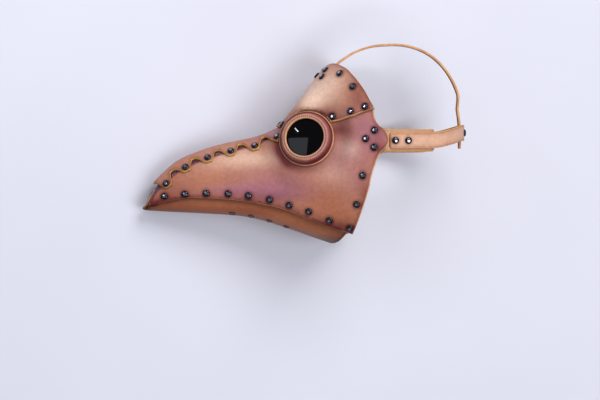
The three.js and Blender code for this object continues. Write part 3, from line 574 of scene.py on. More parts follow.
class Nodes:
    """Builds a material's nodes with few words."""

    def __init__(self, name):
        self.material = bpy.data.materials.new(name)
        self.material.use_nodes = True
        self.tree = self.material.node_tree
        self.shader = self.tree.nodes["Principled BSDF"]
        self.place = self.add("ShaderNodeTexCoord").outputs["Object"]

    def add(self, kind, **values):
        node = self.tree.nodes.new(kind)
        for key, value in values.items():
            setattr(node, key, value)
        return node

    def link(self, source, target):
        if hasattr(source, "links"):
            self.tree.links.new(source, target)
        else:
            target.default_value = source

    def attribute(self, name):
        return self.add("ShaderNodeAttribute", attribute_name=name).outputs["Fac"]

    def noise(self, size, detail=3, roughness=0.5, stretch=None):
        """Noise whose spots are about size millimetres wide."""
        node = self.add("ShaderNodeTexNoise")
        node.inputs["Scale"].default_value = 1000 / size
        node.inputs["Detail"].default_value = detail
        node.inputs["Roughness"].default_value = roughness
        place = self.place
        if stretch:
            mapping = self.add("ShaderNodeMapping")
            mapping.inputs["Scale"].default_value = stretch
            self.link(place, mapping.inputs["Vector"])
            place = mapping.outputs["Vector"]
        self.link(place, node.inputs["Vector"])
        return node.outputs["Fac"]

    def cells(self, size):
        node = self.add("ShaderNodeTexVoronoi")
        node.inputs["Scale"].default_value = 1000 / size
        self.link(self.place, node.inputs["Vector"])
        return node.outputs["Distance"]

    def maths(self, operation, a, b=0.0, clamp=False):
        node = self.add("ShaderNodeMath", operation=operation, use_clamp=clamp)
        self.link(a, node.inputs[0])
        self.link(b, node.inputs[1])
        return node.outputs[0]

    def span(self, value, low, high, to_low=0.0, to_high=1.0):
        node = self.add("ShaderNodeMapRange", clamp=True)
        self.link(value, node.inputs["Value"])
        for key, number in (("From Min", low), ("From Max", high), ("To Min", to_low), ("To Max", to_high)):
            node.inputs[key].default_value = number
        return node.outputs["Result"]

    def mix(self, share, a, b, blend="MIX"):
        node = self.add("ShaderNodeMix", data_type="RGBA", blend_type=blend)
        self.link(share, node.inputs["Factor"])
        for source, socket in ((a, node.inputs["A"]), (b, node.inputs["B"])):
            self.link(source if hasattr(source, "links") else list(source) + [1.0], socket)
        return node.outputs["Result"]

    def bump(self, height, strength, depth, below=None):
        """Relief whose full depth is given in millimetres."""
        node = self.add("ShaderNodeBump")
        node.inputs["Strength"].default_value = strength
        node.inputs["Distance"].default_value = depth / 1000
        self.link(height, node.inputs["Height"])
        if below is not None:
            self.link(below, node.inputs["Normal"])
        return node.outputs["Normal"]

    def finish(self, colour, roughness, normal=None, **values):
        self.link(colour if hasattr(colour, "links") else list(colour) + [1.0],
                  self.shader.inputs["Base Color"])
        self.link(roughness, self.shader.inputs["Roughness"])
        if normal is not None:
            self.link(normal, self.shader.inputs["Normal"])
        for key, value in values.items():
            self.shader.inputs[key.replace("_", " ")].default_value = value
        return self.material


PALE = tone(234, 199, 176)
TAN = tone(184, 122, 98)
MAUVE = tone(166, 106, 118)
WARM = tone(174, 104, 72)
DARK_MAROON = tone(94, 22, 24)
PLUM = tone(66, 24, 48)
LAVENDER_GLINT = tone(168, 132, 176)
TRIM_AND_HIGHLIGHT = tone(212, 158, 108)


def leather_material(name, base, pale, warm, dark, shine=0.46):
    """Waxed leather, painted by the mesh's attributes, with a fine grain and burnished edges, and with
    painted shade and painted highlights.
    """
    n = Nodes(name)
    clouds = n.noise(26, 4, 0.55)
    mottle = n.noise(5, 4, 0.6)
    pores = n.cells(1.1)
    colour = n.mix(n.span(clouds, 0.35, 0.68), shade(base, 0.9), shade(base, 1.07))
    colour = n.mix(n.attribute("pale"), colour, pale)
    colour = n.mix(n.attribute("warm"), colour, warm)
    colour = n.mix(n.attribute("mauve"), colour, MAUVE)
    colour = n.mix(n.span(mottle, 0.3, 0.75, 0.22, 0.0), colour, dark, "MULTIPLY")
    ragged = n.maths("ADD", n.attribute("edge"), n.span(mottle, 0.3, 0.7, -1.2, 1.2))
    edge = n.span(ragged, 0.4, 5.5, 0.42, 0.0)
    # Darkening: burnished edges, darker leather, and painted shade in crevices, grooves and on sides turned
    # from the light
    burn = n.maths("ADD", n.attribute("burn"), edge, clamp=True)
    uneven = n.maths("MULTIPLY", burn, n.span(clouds, 0.25, 0.7, 0.82, 1.08), clamp=True)
    colour = n.mix(uneven, colour, dark)
    # Painted highlights: lavender glints scattered through the plum
    glints = n.span(n.noise(1.6, 2), 0.56, 0.64, 0.0, 0.75)
    colour = n.mix(n.attribute("plum"), colour, n.mix(glints, PLUM, LAVENDER_GLINT))
    colour = n.mix(n.span(pores, 0.0, 0.4, 0.16, 0.0), colour, dark)
    # Light tan lines: cut edges that the mesh hides, and painted highlights along lit edges
    colour = n.mix(n.attribute("trim"), colour, TRIM_AND_HIGHLIGHT)
    relief = n.bump(n.span(pores, 0.0, 0.45), 0.32, 0.12)
    relief = n.bump(mottle, 0.3, 0.5, relief)
    relief = n.bump(n.noise(14, 2), 0.25, 1.1, relief)
    roughness = n.span(mottle, 0.3, 0.7, shine - 0.07, shine + 0.09)
    return n.finish(colour, roughness, relief, Specular_IOR_Level=0.32)


def cut_material(name, light, dark):
    """The waxed cut edge of thick leather, with the layers of its fibres."""
    n = Nodes(name)
    fibres = n.noise(0.9, 4, 0.7)
    patches = n.noise(7, 2)
    colour = n.mix(n.span(patches, 0.35, 0.65), light, [(a + b) / 2 for a, b in zip(light, dark)])
    colour = n.mix(n.span(fibres, 0.42, 0.7, 0.0, 0.5), colour, dark)
    # The cut edge darkens by the same attribute, painted shade included
    colour = n.mix(n.span(n.attribute("burn"), 0.25, 0.75, 0.0, 0.9), colour, shade(dark, 0.45))
    return n.finish(colour, n.span(fibres, 0.3, 0.7, 0.5, 0.72), n.bump(fibres, 0.35, 0.25))


def flesh_material(name, base):
    """The rough inner side of the leather."""
    n = Nodes(name)
    nap = n.noise(0.8, 5, 0.7)
    smudges = n.noise(18, 4, 0.6)
    colour = n.mix(n.span(smudges, 0.3, 0.7), shade(base, 0.72), base)
    colour = n.mix(n.span(nap, 0.4, 0.7, 0.0, 0.45), colour, shade(base, 0.55))
    relief = n.bump(nap, 0.5, 0.35, n.bump(smudges, 0.3, 1.0))
    return n.finish(colour, 0.93, relief, Specular_IOR_Level=0.2)


def metal_material(name, base, roughness, worn=None):
    """Metal, with the tone of the places that wear keeps bright, which on the rivets is partly a painted
    highlight.
    """
    n = Nodes(name)
    scratches = n.noise(0.6, 4, 0.7, (1, 1, 5))
    tarnish = n.noise(2.2, 3)
    colour = n.mix(n.span(tarnish, 0.45, 0.75, 0.0, 0.6), base, shade(base, 0.5))
    if worn:
        colour = n.mix(n.attribute("worn"), colour, worn)
    rough = n.span(scratches, 0.3, 0.75, roughness - 0.03, roughness + 0.05)
    return n.finish(colour, rough, n.bump(scratches, 0.03, 0.02), Metallic=1.0)


def glass_material():
    n = Nodes("lens_gloss_black")
    smears = n.noise(9, 4, 0.6)
    dust = n.cells(2.6)
    colour = n.mix(n.span(dust, 0.0, 0.05, 0.3, 0.0), tone(2, 2, 3), tone(26, 25, 29))
    rough = n.span(smears, 0.4, 0.75, 0.02, 0.05)
    return n.finish(colour, rough, None, IOR=1.42, Specular_IOR_Level=0.2)


def dull_material(name, noise, light_from, dark, light, roughness, relief):
    """Dark stuff whose tone and relief follow one noise."""
    n = Nodes(name)
    spots = n.noise(*noise)
    colour = n.mix(n.span(spots, 0.35, light_from), dark, light)
    return n.finish(colour, roughness, n.bump(spots, relief, 0.2))


SKIN_LEATHER = leather_material("leather_pink_tan", TAN, PALE, WARM, DARK_MAROON)
# The chin panel's orange-brown, darkened in part as painted shade for its downward-facing side
CHIN_LEATHER = leather_material("leather_orange_brown", tone(162, 92, 62), tone(186, 118, 76),
                                tone(146, 78, 48), tone(58, 20, 14))
STRAP_LEATHER = leather_material("leather_strap_tan", tone(206, 161, 136), tone(222, 184, 160),
                                 tone(198, 144, 112), tone(140, 80, 50), 0.5)
OCHRE_EDGE = cut_material("cut_edge_ochre", tone(206, 158, 66), tone(128, 78, 26))
TAN_EDGE = cut_material("cut_edge_tan", tone(216, 164, 112), tone(146, 88, 50))
FLESH = flesh_material("leather_inner_side", tone(168, 122, 92))
# Near-black nickel with bright worn centres: real wear, and partly painted highlight and painted dark
# reflection
NICKEL = metal_material("rivet_dark_nickel", [0.03, 0.03, 0.037], 0.1, [0.46, 0.46, 0.56])
BRASS = metal_material("rivet_inner_cap", [0.36, 0.34, 0.32], 0.32)
GLASS = glass_material()
THREAD = dull_material("thread_waxed", (0.5, 2, 0.5, (1, 1, 3)), 0.65, tone(46, 14, 14), tone(84, 34, 30),
                       0.6, 0.6)
# A near-black disc and wall close each vent eyelet: painted shade for the hole
VENT_HOLE_SHADE = dull_material("vent_hole_shade", (1.4, 3), 0.7, tone(12, 8, 7), tone(34, 20, 15), 0.85, 0.3)

# Where every rivet sits
SIDE_OUTER = SIDE_LAYER + LEATHER
BROW_OUTER = BROW_LAYER + LEATHER
RIVET_SEAT = 0.05


def rivet_seat(name, x, distance, height, inside):
    """A rivet's name, its place on a face at the given height, its direction, and its depth through
    to the layer that starts at the height inside."""
    x, distance = np.array(float(x)), np.array(float(distance))
    normal = normal_of(from_ridge, x, distance)
    return name, from_ridge(x, distance) + normal * height, normal, height - inside


def rivet_seats():
    """The rivets of the left half."""
    rows = [
        ("jaw_rivet", JAW_RIVETS, SIDE_OUTER + GAP, CHIN_LAYER - DIP),
        ("back_rivet", BACK_RIVETS, SIDE_OUTER + GAP, SIDE_LAYER),
        ("tab_rivet", TAB_RIVETS, SIDE_OUTER + GAP, ANCHOR_LAYER),
        ("brow_rivet", BROW_RIVETS, BROW_OUTER + 3 * GAP, SIDE_LAYER - DIP),
        ("strip_rivet", STRIP_RIVETS, TOP_LAYER + LEATHER, SIDE_LAYER - DIP),
        ("forehead_rivet", FOREHEAD_RIVETS, BROW_OUTER, TOP_STRAP_LAYER - TOP_STRAP_TUCK),
    ]
    seats = []
    for name, spots, height, inside in rows:
        for i, spot in enumerate(spots):
            seats.append(rivet_seat(f"{name}_{i + 1}", *side_place(*spot, height), height, inside))
    x, distance = BRIDGE_RIVET
    seats.append(rivet_seat("bridge_rivet", x, -distance, BROW_OUTER + RAISED_BY, SIDE_LAYER - DIP))
    return seats


LEFT_RIVETS = rivet_seats()
RIVET_POINTS = np.array([point for _, point, _, _ in LEFT_RIVETS])

# The paint, as [r, z, half width, half height, amount] in the photograph's side view
PALE_SPOTS = [
    [-62, -24, 42, 12, 0.7], [-105, -34, 30, 10, 0.12], [-20, -26, 12, 12, 0.25], [28, 62, 28, 22, 0.95],
    [18, 42, 16, 12, 0.7], [52, 76, 14, 14, 0.3], [48, -44, 24, 22, 0.35], [68, -13, 13, 11, 0.9],
]
WARM_SPOTS = [
    [40, -74, 34, 22, 0.75], [-95, -52, 30, 12, 0.45], [58, -100, 26, 14, 0.6], [-165, -72, 14, 14, 0.5],
    [-128, -58, 22, 10, 0.35],
]
MAUVE_SPOTS = [
    [-30, -52, 40, 16, 0.5], [-8, -64, 40, 14, 0.45], [84, 18, 26, 20, 0.6], [100, -4, 20, 24, 0.7],
    [54, -24, 30, 26, 0.45], [-75, -64, 38, 8, 0.8], [-28, -71, 36, 8, 0.5], [78, -52, 16, 30, 0.3],
]
# Dark spots: darker leather, and painted shade such as the spot under the brow's lower edge behind the eye
DARK_SPOTS = [
    [56, 11, 15, 9, 0.6], [40, 33, 13, 9, 0.5], [-12, -34, 14, 12, 0.36], [76, 50, 14, 18, 0.28],
    [66, -112, 20, 9, 0.5], [85, -70, 7, 34, 0.4], [108, -14, 10, 8, 0.5], [-172, -78, 18, 7, 0.45],
    [-22, -12, 9, 16, 0.4], [34, -106, 30, 6, 0.3], [-154, -62, 22, 14, 0.42], [104, 0, 12, 16, 0.3],
    [-30, -72, 50, 7, 0.25], [80, 52, 9, 18, 0.25],
]

# Dark bands, as [distance from what they follow, width, amount]
# The band round each eye's flange is darker leather all round, with painted shade added on its lower side
EYE_HALO = [37, 8, 0.62]
EYE_HALO_SHADE_DOWN = [-0.62, -0.78]
EYE_HALO_SHARES = [0.45, 0.75]
JAW_BAND = [0, 9, 0.38]
RIVET_HALO = [5.2, 1.7, 0.36]


def spotted(r, z, spots):
    """The sum of soft spots, each [r, z, half width, half height, amount]."""
    total = 0
    for at_r, at_z, wide, high, amount in spots:
        total = total + amount * peak(r, at_r, wide) * peak(z, at_z, high)
    return np.clip(total, 0, 1)


def banded(distance, band):
    """A soft band's amount at a distance."""
    middle, width, amount = band
    return amount * peak(distance, middle, width)


def painted(points, edge, jaw=False, strength=1.0):
    """The paint's attributes for points of the mask's outer leather."""
    left = points * np.where(points[:, 1:2] > 0, [[1, -1, 1]], 1)
    yaw = math.radians(VIEW_YAW)
    r = left[:, 0] * math.cos(yaw) - left[:, 1] * math.sin(yaw)
    z = left[:, 2]
    flat, reach, _ = about_axis(left, EYE_CENTRE, EYE_AXIS)
    # Painted shade: the halo round the eye grows darker towards its lower side
    down = flat[:, ::2] @ EYE_HALO_SHADE_DOWN / np.maximum(reach, 1)
    halo = banded(np.maximum(reach, EYE_HALO[0]), EYE_HALO)
    halo = halo * (EYE_HALO_SHARES[0] + EYE_HALO_SHARES[1] * np.clip(down, 0, 1))
    burn = spotted(r, z, DARK_SPOTS) + halo + banded(nearest(left, RIVET_POINTS), RIVET_HALO)
    if jaw:
        burn = burn + banded(z - jaw_edge(left[:, 0]), JAW_BAND)
    return {
        "edge": edge, "burn": np.clip(burn * strength, 0, 1), "pale": spotted(r, z, PALE_SPOTS) * strength,
        "warm": spotted(r, z, WARM_SPOTS) * strength, "mauve": spotted(r, z, MAUVE_SPOTS) * strength,
    }


LEFT_RIGHT = (("left", 1), ("right", -1))


def add_leather(name, outer, inner, keep, materials, node_names, slot, paint):
    """Makes a piece of leather, whose paint goes by its points, their distance from its cut edge and
    their places in the grid."""
    points, faces, slots, edge, source = leather_mesh(outer, inner, keep)
    attributes = paint(points, edge, source)
    add_piece(name, points, faces.tolist(), slots, materials, node_names, slot, attributes)


# The side panels, whose paint beside the ridge strip goes by the distance from the ridge
PANEL_GRID = (230, 124)
PLUM_TO = [15.2, 16.2]
PLUM_FADE_X = [-14, -26]
PLUM_AMOUNT = 0.95
# A painted shadow line along the lower edge of the plum stripe beside the ridge strip
PLUM_SHADOW_LINE = [16.6, 0.9, 0.8]
# A light line along the back edge, and a painted highlight along the front of the jaw edge
TRIM_AND_HIGHLIGHT_WIDTH = [0.3, 1.0]
BACK_TRIM_FROM = [0.93, 0.97]
JAW_HIGHLIGHT_TO = [0.35, 0.55]
TRIM_AND_HIGHLIGHT_AMOUNTS = [0.55, 0.35]
TOP_SIDE = 30


def sheet(x, distance, height):
    """The outer and inner faces of leather whose inner face is at a height over the skin."""
    return raised(from_ridge, x, distance, height + LEATHER), raised(from_ridge, x, distance, height)


def open_line(points):
    """A line of places as evenly spaced samples, and the share of its length at each."""
    points = np.array(points, float)
    lengths = np.concatenate([[0], np.cumsum(np.linalg.norm(np.diff(points, axis=0), axis=1))])
    return lambda share: np.stack(
        [np.interp(share, lengths / lengths[-1], points[:, k]) for k in (0, 1)], axis=-1)


def seen_places(spots, height):
    x, distance = side_place([s[0] for s in spots], [s[1] for s in spots], height)
    return [list(place) for place in zip(x, distance)]


BROW_LOWER = [[BROW_FRONT, 0], [BROW_FRONT_CORNER[0], -BROW_FRONT_CORNER[1]]]
BROW_LOWER += seen_places(BROW_LOWER_POINTS + [BROW_CORNER], BROW_OUTER)
BROW_UPPER = [[BROW_BACK, 0]] + seen_places(
    BROW_BACK_POINTS[::-1] + [[c + s for c, s in zip(BROW_CORNER, BROW_CORNER_STEP)]], BROW_OUTER)
covered_to = smooth_curve([
    [STRIP_FRONT, STRIP_FRONT_COVER], [STRIP_COVER_CHANGE[0], STRIP_FRONT_COVER],
    [STRIP_COVER_CHANGE[1], STRIP_COVER], [BROW_FRONT, STRIP_COVER],
] + [[x, -distance] for x, distance in BROW_LOWER[1:]])


def side_panel_places(columns, rows):
    u, v = grid(columns, rows)
    jaw_x = lerp(JAW_EDGE_STATIONS[0][0], JAW_EDGE_STATIONS[-1][0], u[:, 0])
    bottom = np.stack(side_place(jaw_x, jaw_edge(jaw_x), SIDE_OUTER), axis=-1)
    back_z = np.interp(v[0] * (len(BACK_EDGE_ROWS) - 1), range(len(BACK_EDGE_ROWS)), BACK_EDGE_ROWS)
    back = np.stack(side_place(back_edge(back_z), back_z, SIDE_OUTER), axis=-1)
    front_top = np.array([FRONT_EDGE_TOP[0], -SEAM_OFFSET])
    corner = back[-1]
    seam = np.clip(u[:, 0] / SEAM_SHARE, 0, 1)[:, None]
    rest = np.clip((u[:, 0] - SEAM_SHARE) / (1 - SEAM_SHARE), 0, 1)[:, None]
    seam_end = np.array([SEAM_END, -SEAM_OFFSET])
    top = np.where(rest > 0, lerp(seam_end, corner, rest), lerp(front_top, seam_end, seam))
    front = lerp(bottom[0], front_top, v[0][:, None])
    u, v = u[..., None], v[..., None]
    across = (1 - v) * bottom[:, None] + v * top[:, None]
    along = (1 - u) * front[None] + u * back[None]
    low = (1 - u) * bottom[0] + u * back[0]
    high = (1 - u) * front_top + u * corner
    return across + along - (1 - v) * low - v * high


def make_side_panels():
    places = side_panel_places(*PANEL_GRID)
    u_share = grid(*PANEL_GRID)[0]
    x, distance = places[..., 0], places[..., 1]
    sunk = DIP * smoothstep(covered_to(x) - np.abs(distance), 0, COVER_SLOPE)
    for side_name, side in LEFT_RIGHT:
        outer, inner = sheet(x, distance, SIDE_LAYER - sunk)
        keep = np.ones(tuple(PANEL_GRID), bool)
        cut_round(outer, inner, keep, EYE_HOLE_RADIUS, 1)
        if side < 0:
            outer, inner = mirrored(outer), mirrored(inner)

        def paint(points, edge, source):
            values = painted(points, edge, jaw=True)
            from_top = np.abs(distance.ravel()[source])
            share = u_share.ravel()[source]
            fade = smoothstep(x.ravel()[source], *PLUM_FADE_X)
            values["plum"] = PLUM_AMOUNT * (1 - smoothstep(from_top, *PLUM_TO)) * fade
            # Painted shadow line below the plum stripe
            values["burn"] = np.maximum(values["burn"], banded(from_top, PLUM_SHADOW_LINE) * fade)
            # A light line along the back edge, and a painted highlight along the jaw edge's front part
            behind = TRIM_AND_HIGHLIGHT_AMOUNTS[0] * smoothstep(share, *BACK_TRIM_FROM)
            jaw_highlight = TRIM_AND_HIGHLIGHT_AMOUNTS[1] * (1 - smoothstep(share, *JAW_HIGHLIGHT_TO)) * (from_top > TOP_SIDE)
            values["trim"] = (1 - smoothstep(edge, *TRIM_AND_HIGHLIGHT_WIDTH)) * np.maximum(behind, jaw_highlight)
            return values

        add_leather(f"side_panel_{side_name}_leather", outer, inner, keep,
                    [SKIN_LEATHER, TAN_EDGE, FLESH], [f"side_panel_{side_name}"], "leather_tan", paint)


# The ridge strip
STRIP_GRID = (330, 44)
STRIP_PAINT = 0.5
STRIP_MAUVE_X = [-70, -25]
STRIP_MAUVE = 0.55
STRIP_PLUM_X = [-24, -15]
STRIP_PLUM = 0.5


def strip_sweep(x, distance):
    slope = (ridge(x + 1) - ridge(x - 1)) / 2
    return STRIP_SWEEP * slope * np.abs(distance) / np.hypot(1, slope)


def strip_shape():
    """The strip's lobes: the station of each rivet and the half width there."""
    seen = np.array(STRIP_RIVETS)
    x, distance = side_place(seen[:, 0], seen[:, 1], TOP_LAYER + LEATHER)
    stations = x.copy()
    for _ in range(PLACE_ROUNDS):
        stations = x - strip_sweep(stations, distance)
    return stations, LOBE_MARGIN - distance


def strip_half_widths(x, stations, widths):
    starts = np.append(stations, 2 * stations[-1] - stations[-2])
    widths = np.append(widths, widths[-1])
    lobe = np.clip(np.searchsorted(starts, x) - 1, 0, len(stations) - 1)
    phase = (x - starts[lobe]) / (starts[lobe + 1] - starts[lobe])
    fall = lerp(NOTCH_HALF_WIDTH, widths[lobe], 1 - smoothstep(phase, *LOBE_FALL))
    rise = lerp(NOTCH_HALF_WIDTH, widths[lobe + 1], smoothstep(phase, *LOBE_RISE))
    nose = np.clip((x - STRIP_FRONT) / (starts[0] - STRIP_FRONT), 0, 1)
    rounded = lerp(STRIP_FRONT_HALF_WIDTH, widths[0], np.sqrt(1 - (1 - nose) ** 2))
    return np.where(x < starts[0], rounded, np.maximum(fall, rise))


def make_ridge_strip():
    stations, widths = strip_shape()
    u, v = grid(*STRIP_GRID)
    x = lerp(STRIP_FRONT, STRIP_BACK - 1, u)
    distance = (2 * v - 1) * strip_half_widths(x, stations, widths)
    lift = STRIP_END_LIFT * smoothstep(x, stations[-2], stations[-1])
    swept = x + strip_sweep(x, distance)
    outer, inner = sheet(swept, distance, TOP_LAYER + lift)
    keep = np.ones(tuple(STRIP_GRID), bool)
    for side in (1, -1):
        cut_round(outer, inner, keep, BROW_CUTOUT, side)

    def paint(points, edge, source):
        values = painted(points, edge, strength=STRIP_PAINT)
        values["mauve"] = STRIP_MAUVE * smoothstep(x.ravel()[source], *STRIP_MAUVE_X)
        values["plum"] = STRIP_PLUM * smoothstep(x.ravel()[source], *STRIP_PLUM_X)
        return values

    add_leather("ridge_strip_leather", outer, inner, keep, [SKIN_LEATHER, OCHRE_EDGE, FLESH],
                ["ridge_strip"], "leather_tan", paint)


# The brow panel
BROW_GRID = (120, 250)
BROW_TRIM_SHARES = [0.06, 0.1]
BROW_TRIM_X = [30, 42]
BROW_TRIM_WIDTH = [1.3, 1.9]
BROW_TRIM = 0.95


def make_brow():
    u, v = grid(*BROW_GRID)
    across = 2 * v - 1
    low = open_line(BROW_LOWER)(np.abs(across))
    high = open_line(BROW_UPPER)(np.abs(across))
    x = lerp(low[..., 0], high[..., 0], u)
    distance = -np.sign(across) * lerp(low[..., 1], high[..., 1], u)
    over_strip = 1 - smoothstep(x, *BROW_CLIMB_X)
    near_ridge = 1 - smoothstep(np.abs(distance), *BROW_CLIMB_HALF_WIDTHS)
    outer, inner = sheet(x, distance, BROW_LAYER + RAISED_BY * over_strip * near_ridge)
    keep = np.ones(tuple(BROW_GRID), bool)
    for side in (1, -1):
        cut_round(outer, inner, keep, BROW_CUTOUT, side)

    def paint(points, edge, source):
        values = painted(points, edge)
        low = 1 - smoothstep(u.ravel()[source], *BROW_TRIM_SHARES)
        behind_eye = smoothstep(x.ravel()[source], *BROW_TRIM_X)
        values["trim"] = BROW_TRIM * low * behind_eye * (1 - smoothstep(edge, *BROW_TRIM_WIDTH))
        values["burn"] = values["burn"] * (1 - values["trim"])
        return values

    add_leather("brow_panel_leather", outer, inner, keep, [SKIN_LEATHER, TAN_EDGE, FLESH],
                ["brow_panel"], "leather_tan", paint)


# The chin panel
CHIN_CONTROL_COLUMNS = 40
CHIN_FINE = 5
CHIN_ROWS = 64
# Painted shadow in a band just under the side panels' jaw edge
CHIN_JAW_SHADOW = [0, 5, 0.45]
# Painted shade in a band along the keel, the chin's bottom
CHIN_KEEL_SHADE = [0, 3, 0.35]
CHIN_DARK_SPOTS = [[-150, -84, 30, 8, 0.22], [50, -128, 26, 8, 0.6]]
CHIN_PALE_SPOTS = [[-10, -98, 40, 9, 0.5], [30, -116, 26, 9, 0.4], [-95, -84, 30, 6, 0.3]]
CHIN_WARM_SPOTS = [[-60, -90, 60, 10, 0.4]]
TONGUE_RISE = [4, 9]
TONGUE_X = [-176, -168]
# Painted shade on the forward-facing tongue, with a little plum
TONGUE_SHADE_DEPTH = [0.4, 1.1]
TONGUE_SHADE_PLUM = 0.12


def chin_controls(height):
    """The chin panel's columns from the tongue's top to its back edge."""
    across = np.linspace(-1, 1, CHIN_ROWS + 1)
    lean = math.atan2(CHIN_TONGUE_TOP[1] - CHIN_TIP[1], CHIN_TONGUE_TOP[0] - CHIN_TIP[0])
    columns = []
    last = len(CHIN_TONGUE_HALF_WIDTHS) - 1
    for i, half in enumerate(CHIN_TONGUE_HALF_WIDTHS):
        tilt = lean if i < last else math.radians(CHIN_TIP_LEAN)
        x = lerp(CHIN_TONGUE_TOP[0], CHIN_TIP[0], i / last) - math.sin(tilt) * height
        rise = math.cos(tilt) * height * (1 if i < last else -1)
        z = lerp(CHIN_TONGUE_TOP[1], CHIN_TIP[1], i / last) + rise
        columns.append(np.stack([np.full_like(across, x), half * across, np.full_like(across, z)], axis=-1))
    sweep = CHIN_BACK_SWEEP * np.abs(across) ** CHIN_SWEEP_POWER
    dip = DIP * smoothstep(np.abs(across), *CHIN_DIP)
    for share in np.linspace(0, 1, CHIN_CONTROL_COLUMNS):
        x = lerp(CHIN_FIRST, CHIN_BACK + sweep, share)
        jaw = side_place(x, jaw_edge(x), SIDE_OUTER)[1]
        reach = section_length(x) + jaw + CHIN_FLANGE * smoothstep(x, CHIN_FIRST, CHIN_FULL_FLANGE)
        columns.append(raised(from_keel, x, across * reach, height - dip))
    return np.array(columns)


def refined(columns, steps):
    """More columns on smooth curves through the given ones."""
    padded = np.concatenate([2 * columns[:1] - columns[1:2], columns, 2 * columns[-1:] - columns[-2:-1]])
    fine = []
    for i in range(len(columns) - 1):
        for t in np.arange(steps) / steps:
            fine.append(sum(w * padded[i + k] for k, w in enumerate(cubic_weights(t))))
    fine.append(columns[-1])
    return np.array(fine)


def make_chin():
    outer = refined(chin_controls(CHIN_LAYER + LEATHER), CHIN_FINE)
    inner = refined(chin_controls(CHIN_LAYER), CHIN_FINE)
    keep = np.ones((outer.shape[0] - 1, outer.shape[1] - 1), bool)

    def paint(points, edge, _):
        x, z = points[:, 0], points[:, 2]
        above_keel = z - keel(x)
        tongue = smoothstep(above_keel, *TONGUE_RISE) * (1 - smoothstep(x, *TONGUE_X))
        # Painted shadow under the jaw edge, left off the tongue
        seam = banded(np.maximum(jaw_edge(x) - z, 0), CHIN_JAW_SHADOW) * (1 - tongue)
        lean = unit(np.subtract(CHIN_TONGUE_TOP, CHIN_TIP))
        depth = (x - CHIN_TIP[0]) * lean[1] - (z - CHIN_TIP[1]) * lean[0]
        burn = seam + banded(above_keel, CHIN_KEEL_SHADE) + spotted(x, z, CHIN_DARK_SPOTS)
        # Painted shade on the tongue
        burn = burn + tongue * smoothstep(depth, *TONGUE_SHADE_DEPTH)
        return {"edge": edge, "burn": np.clip(burn, 0, 1), "pale": spotted(x, z, CHIN_PALE_SPOTS),
                "warm": spotted(x, z, CHIN_WARM_SPOTS), "plum": TONGUE_SHADE_PLUM * tongue}

    add_leather("chin_panel_leather", outer, inner, keep, [CHIN_LEATHER, TAN_EDGE, FLESH],
                ["chin_panel"], "leather_chin", paint)


# Lathed pieces
def frame_of(axis):
    """Two directions square to an axis and to each other."""
    first = unit(np.cross(axis, [0.3, 0.2, 1.0]))
    return first, np.cross(axis, first)


def faces_between(a, b):
    """The faces between two rings of point numbers. A ring of one point repeated gives triangles."""
    order = [*range(1, len(a)), 0]
    return [list(dict.fromkeys([a[k - 1], a[k], b[k], b[k - 1]])) for k in order]


def lathed(profile, slots, segments, centre, axis, ripple=None):
    """Turns a profile of [radius, height] about an axis. Points on the axis close it, and otherwise
    it closes on itself. Returns points, faces and their slots."""
    first, second = frame_of(axis)
    angles = np.linspace(0, 2 * np.pi, segments, endpoint=False)
    points, numbers = [], []
    for radius, height in profile:
        turned = angles if radius > 0 else angles[:1]
        radii = np.full(len(turned), float(radius))
        heights = np.full(len(turned), float(height))
        if ripple is not None:
            radii, heights = ripple(turned, radii, heights)
        around = np.outer(np.cos(turned), first) + np.outer(np.sin(turned), second)
        numbers.append(np.resize(len(points) + np.arange(len(turned)), segments).tolist())
        points.extend(centre + around * radii[:, None] + axis * heights[:, None])
    if profile[0][0] > 0:
        numbers.append(numbers[0])
    faces, face_slots = [], []
    for slot, a, b in zip(slots, numbers, numbers[1:]):
        faces += faces_between(a, b)
        face_slots += [slot] * segments
    points = np.array(points)
    return points, outward(points, faces), face_slots


def joined(parts):
    points, faces, slots = [], [], []
    for part_points, part_faces, part_slots in parts:
        start = sum(len(p) for p in points)
        points.append(part_points)
        faces += [[start + i for i in face] for face in part_faces]
        slots += list(part_slots)
    return np.concatenate(points), faces, slots


# The eyes
STITCHES = 66
STITCH_RADIUS = 26.6
STITCH_HEIGHT = 7.75
STITCH_LENGTH = 1.35
STITCH_THICKNESS = 0.5
STITCH_BEND = 0.35
STITCH_SEGMENTS = 8
STITCH_OUTLINE = [[-1, 0.35], [-0.7, 0.85], [-0.3, 1], [0.3, 1], [0.7, 0.85], [1, 0.35]]
RING_OUTLINE = [
    [25.7, 0], [29, 0], [31.6, 0], [32, 0.5], [31.8, 1.6], [31.1, 3.4], [30.2, 5.1], [29.4, 6.3],
    [28.8, 7.2], [28.2, 7.8], [27.7, 8.1], [27.2, 8.15], [26.7, 8.05], [26.3, 8.25], [25.9, 8.6],
    [25.6, 8.85], [25.1, 8.95], [24.6, 8.8], [24.2, 8.4], [23.95, 7.8], [23.9, 7], [23.9, 5.8],
    [24, 5.1], [24.3, 4.8], [25.7, 4.45],
]
RING_SLOTS = [2] * 2 + [0] * 15 + [1] * 5 + [2] * 3
RING_FACE_FROM = 6
STITCH_PULL = [STITCH_RADIUS, 0.9, 0.34]
LIP_PULL = [25.5, 1.1, 0.16]
FOLDS = [9, 2.1, 3]  # waves round the ring, and how far and how often their spacing varies
FOLD_RADII = [27.5, 30]
FOLDS_FROM = 1
FOLD_OUT = 0.18
FOLD_UP = 0.12
FLANGE_FACE = LEATHER - 0.1
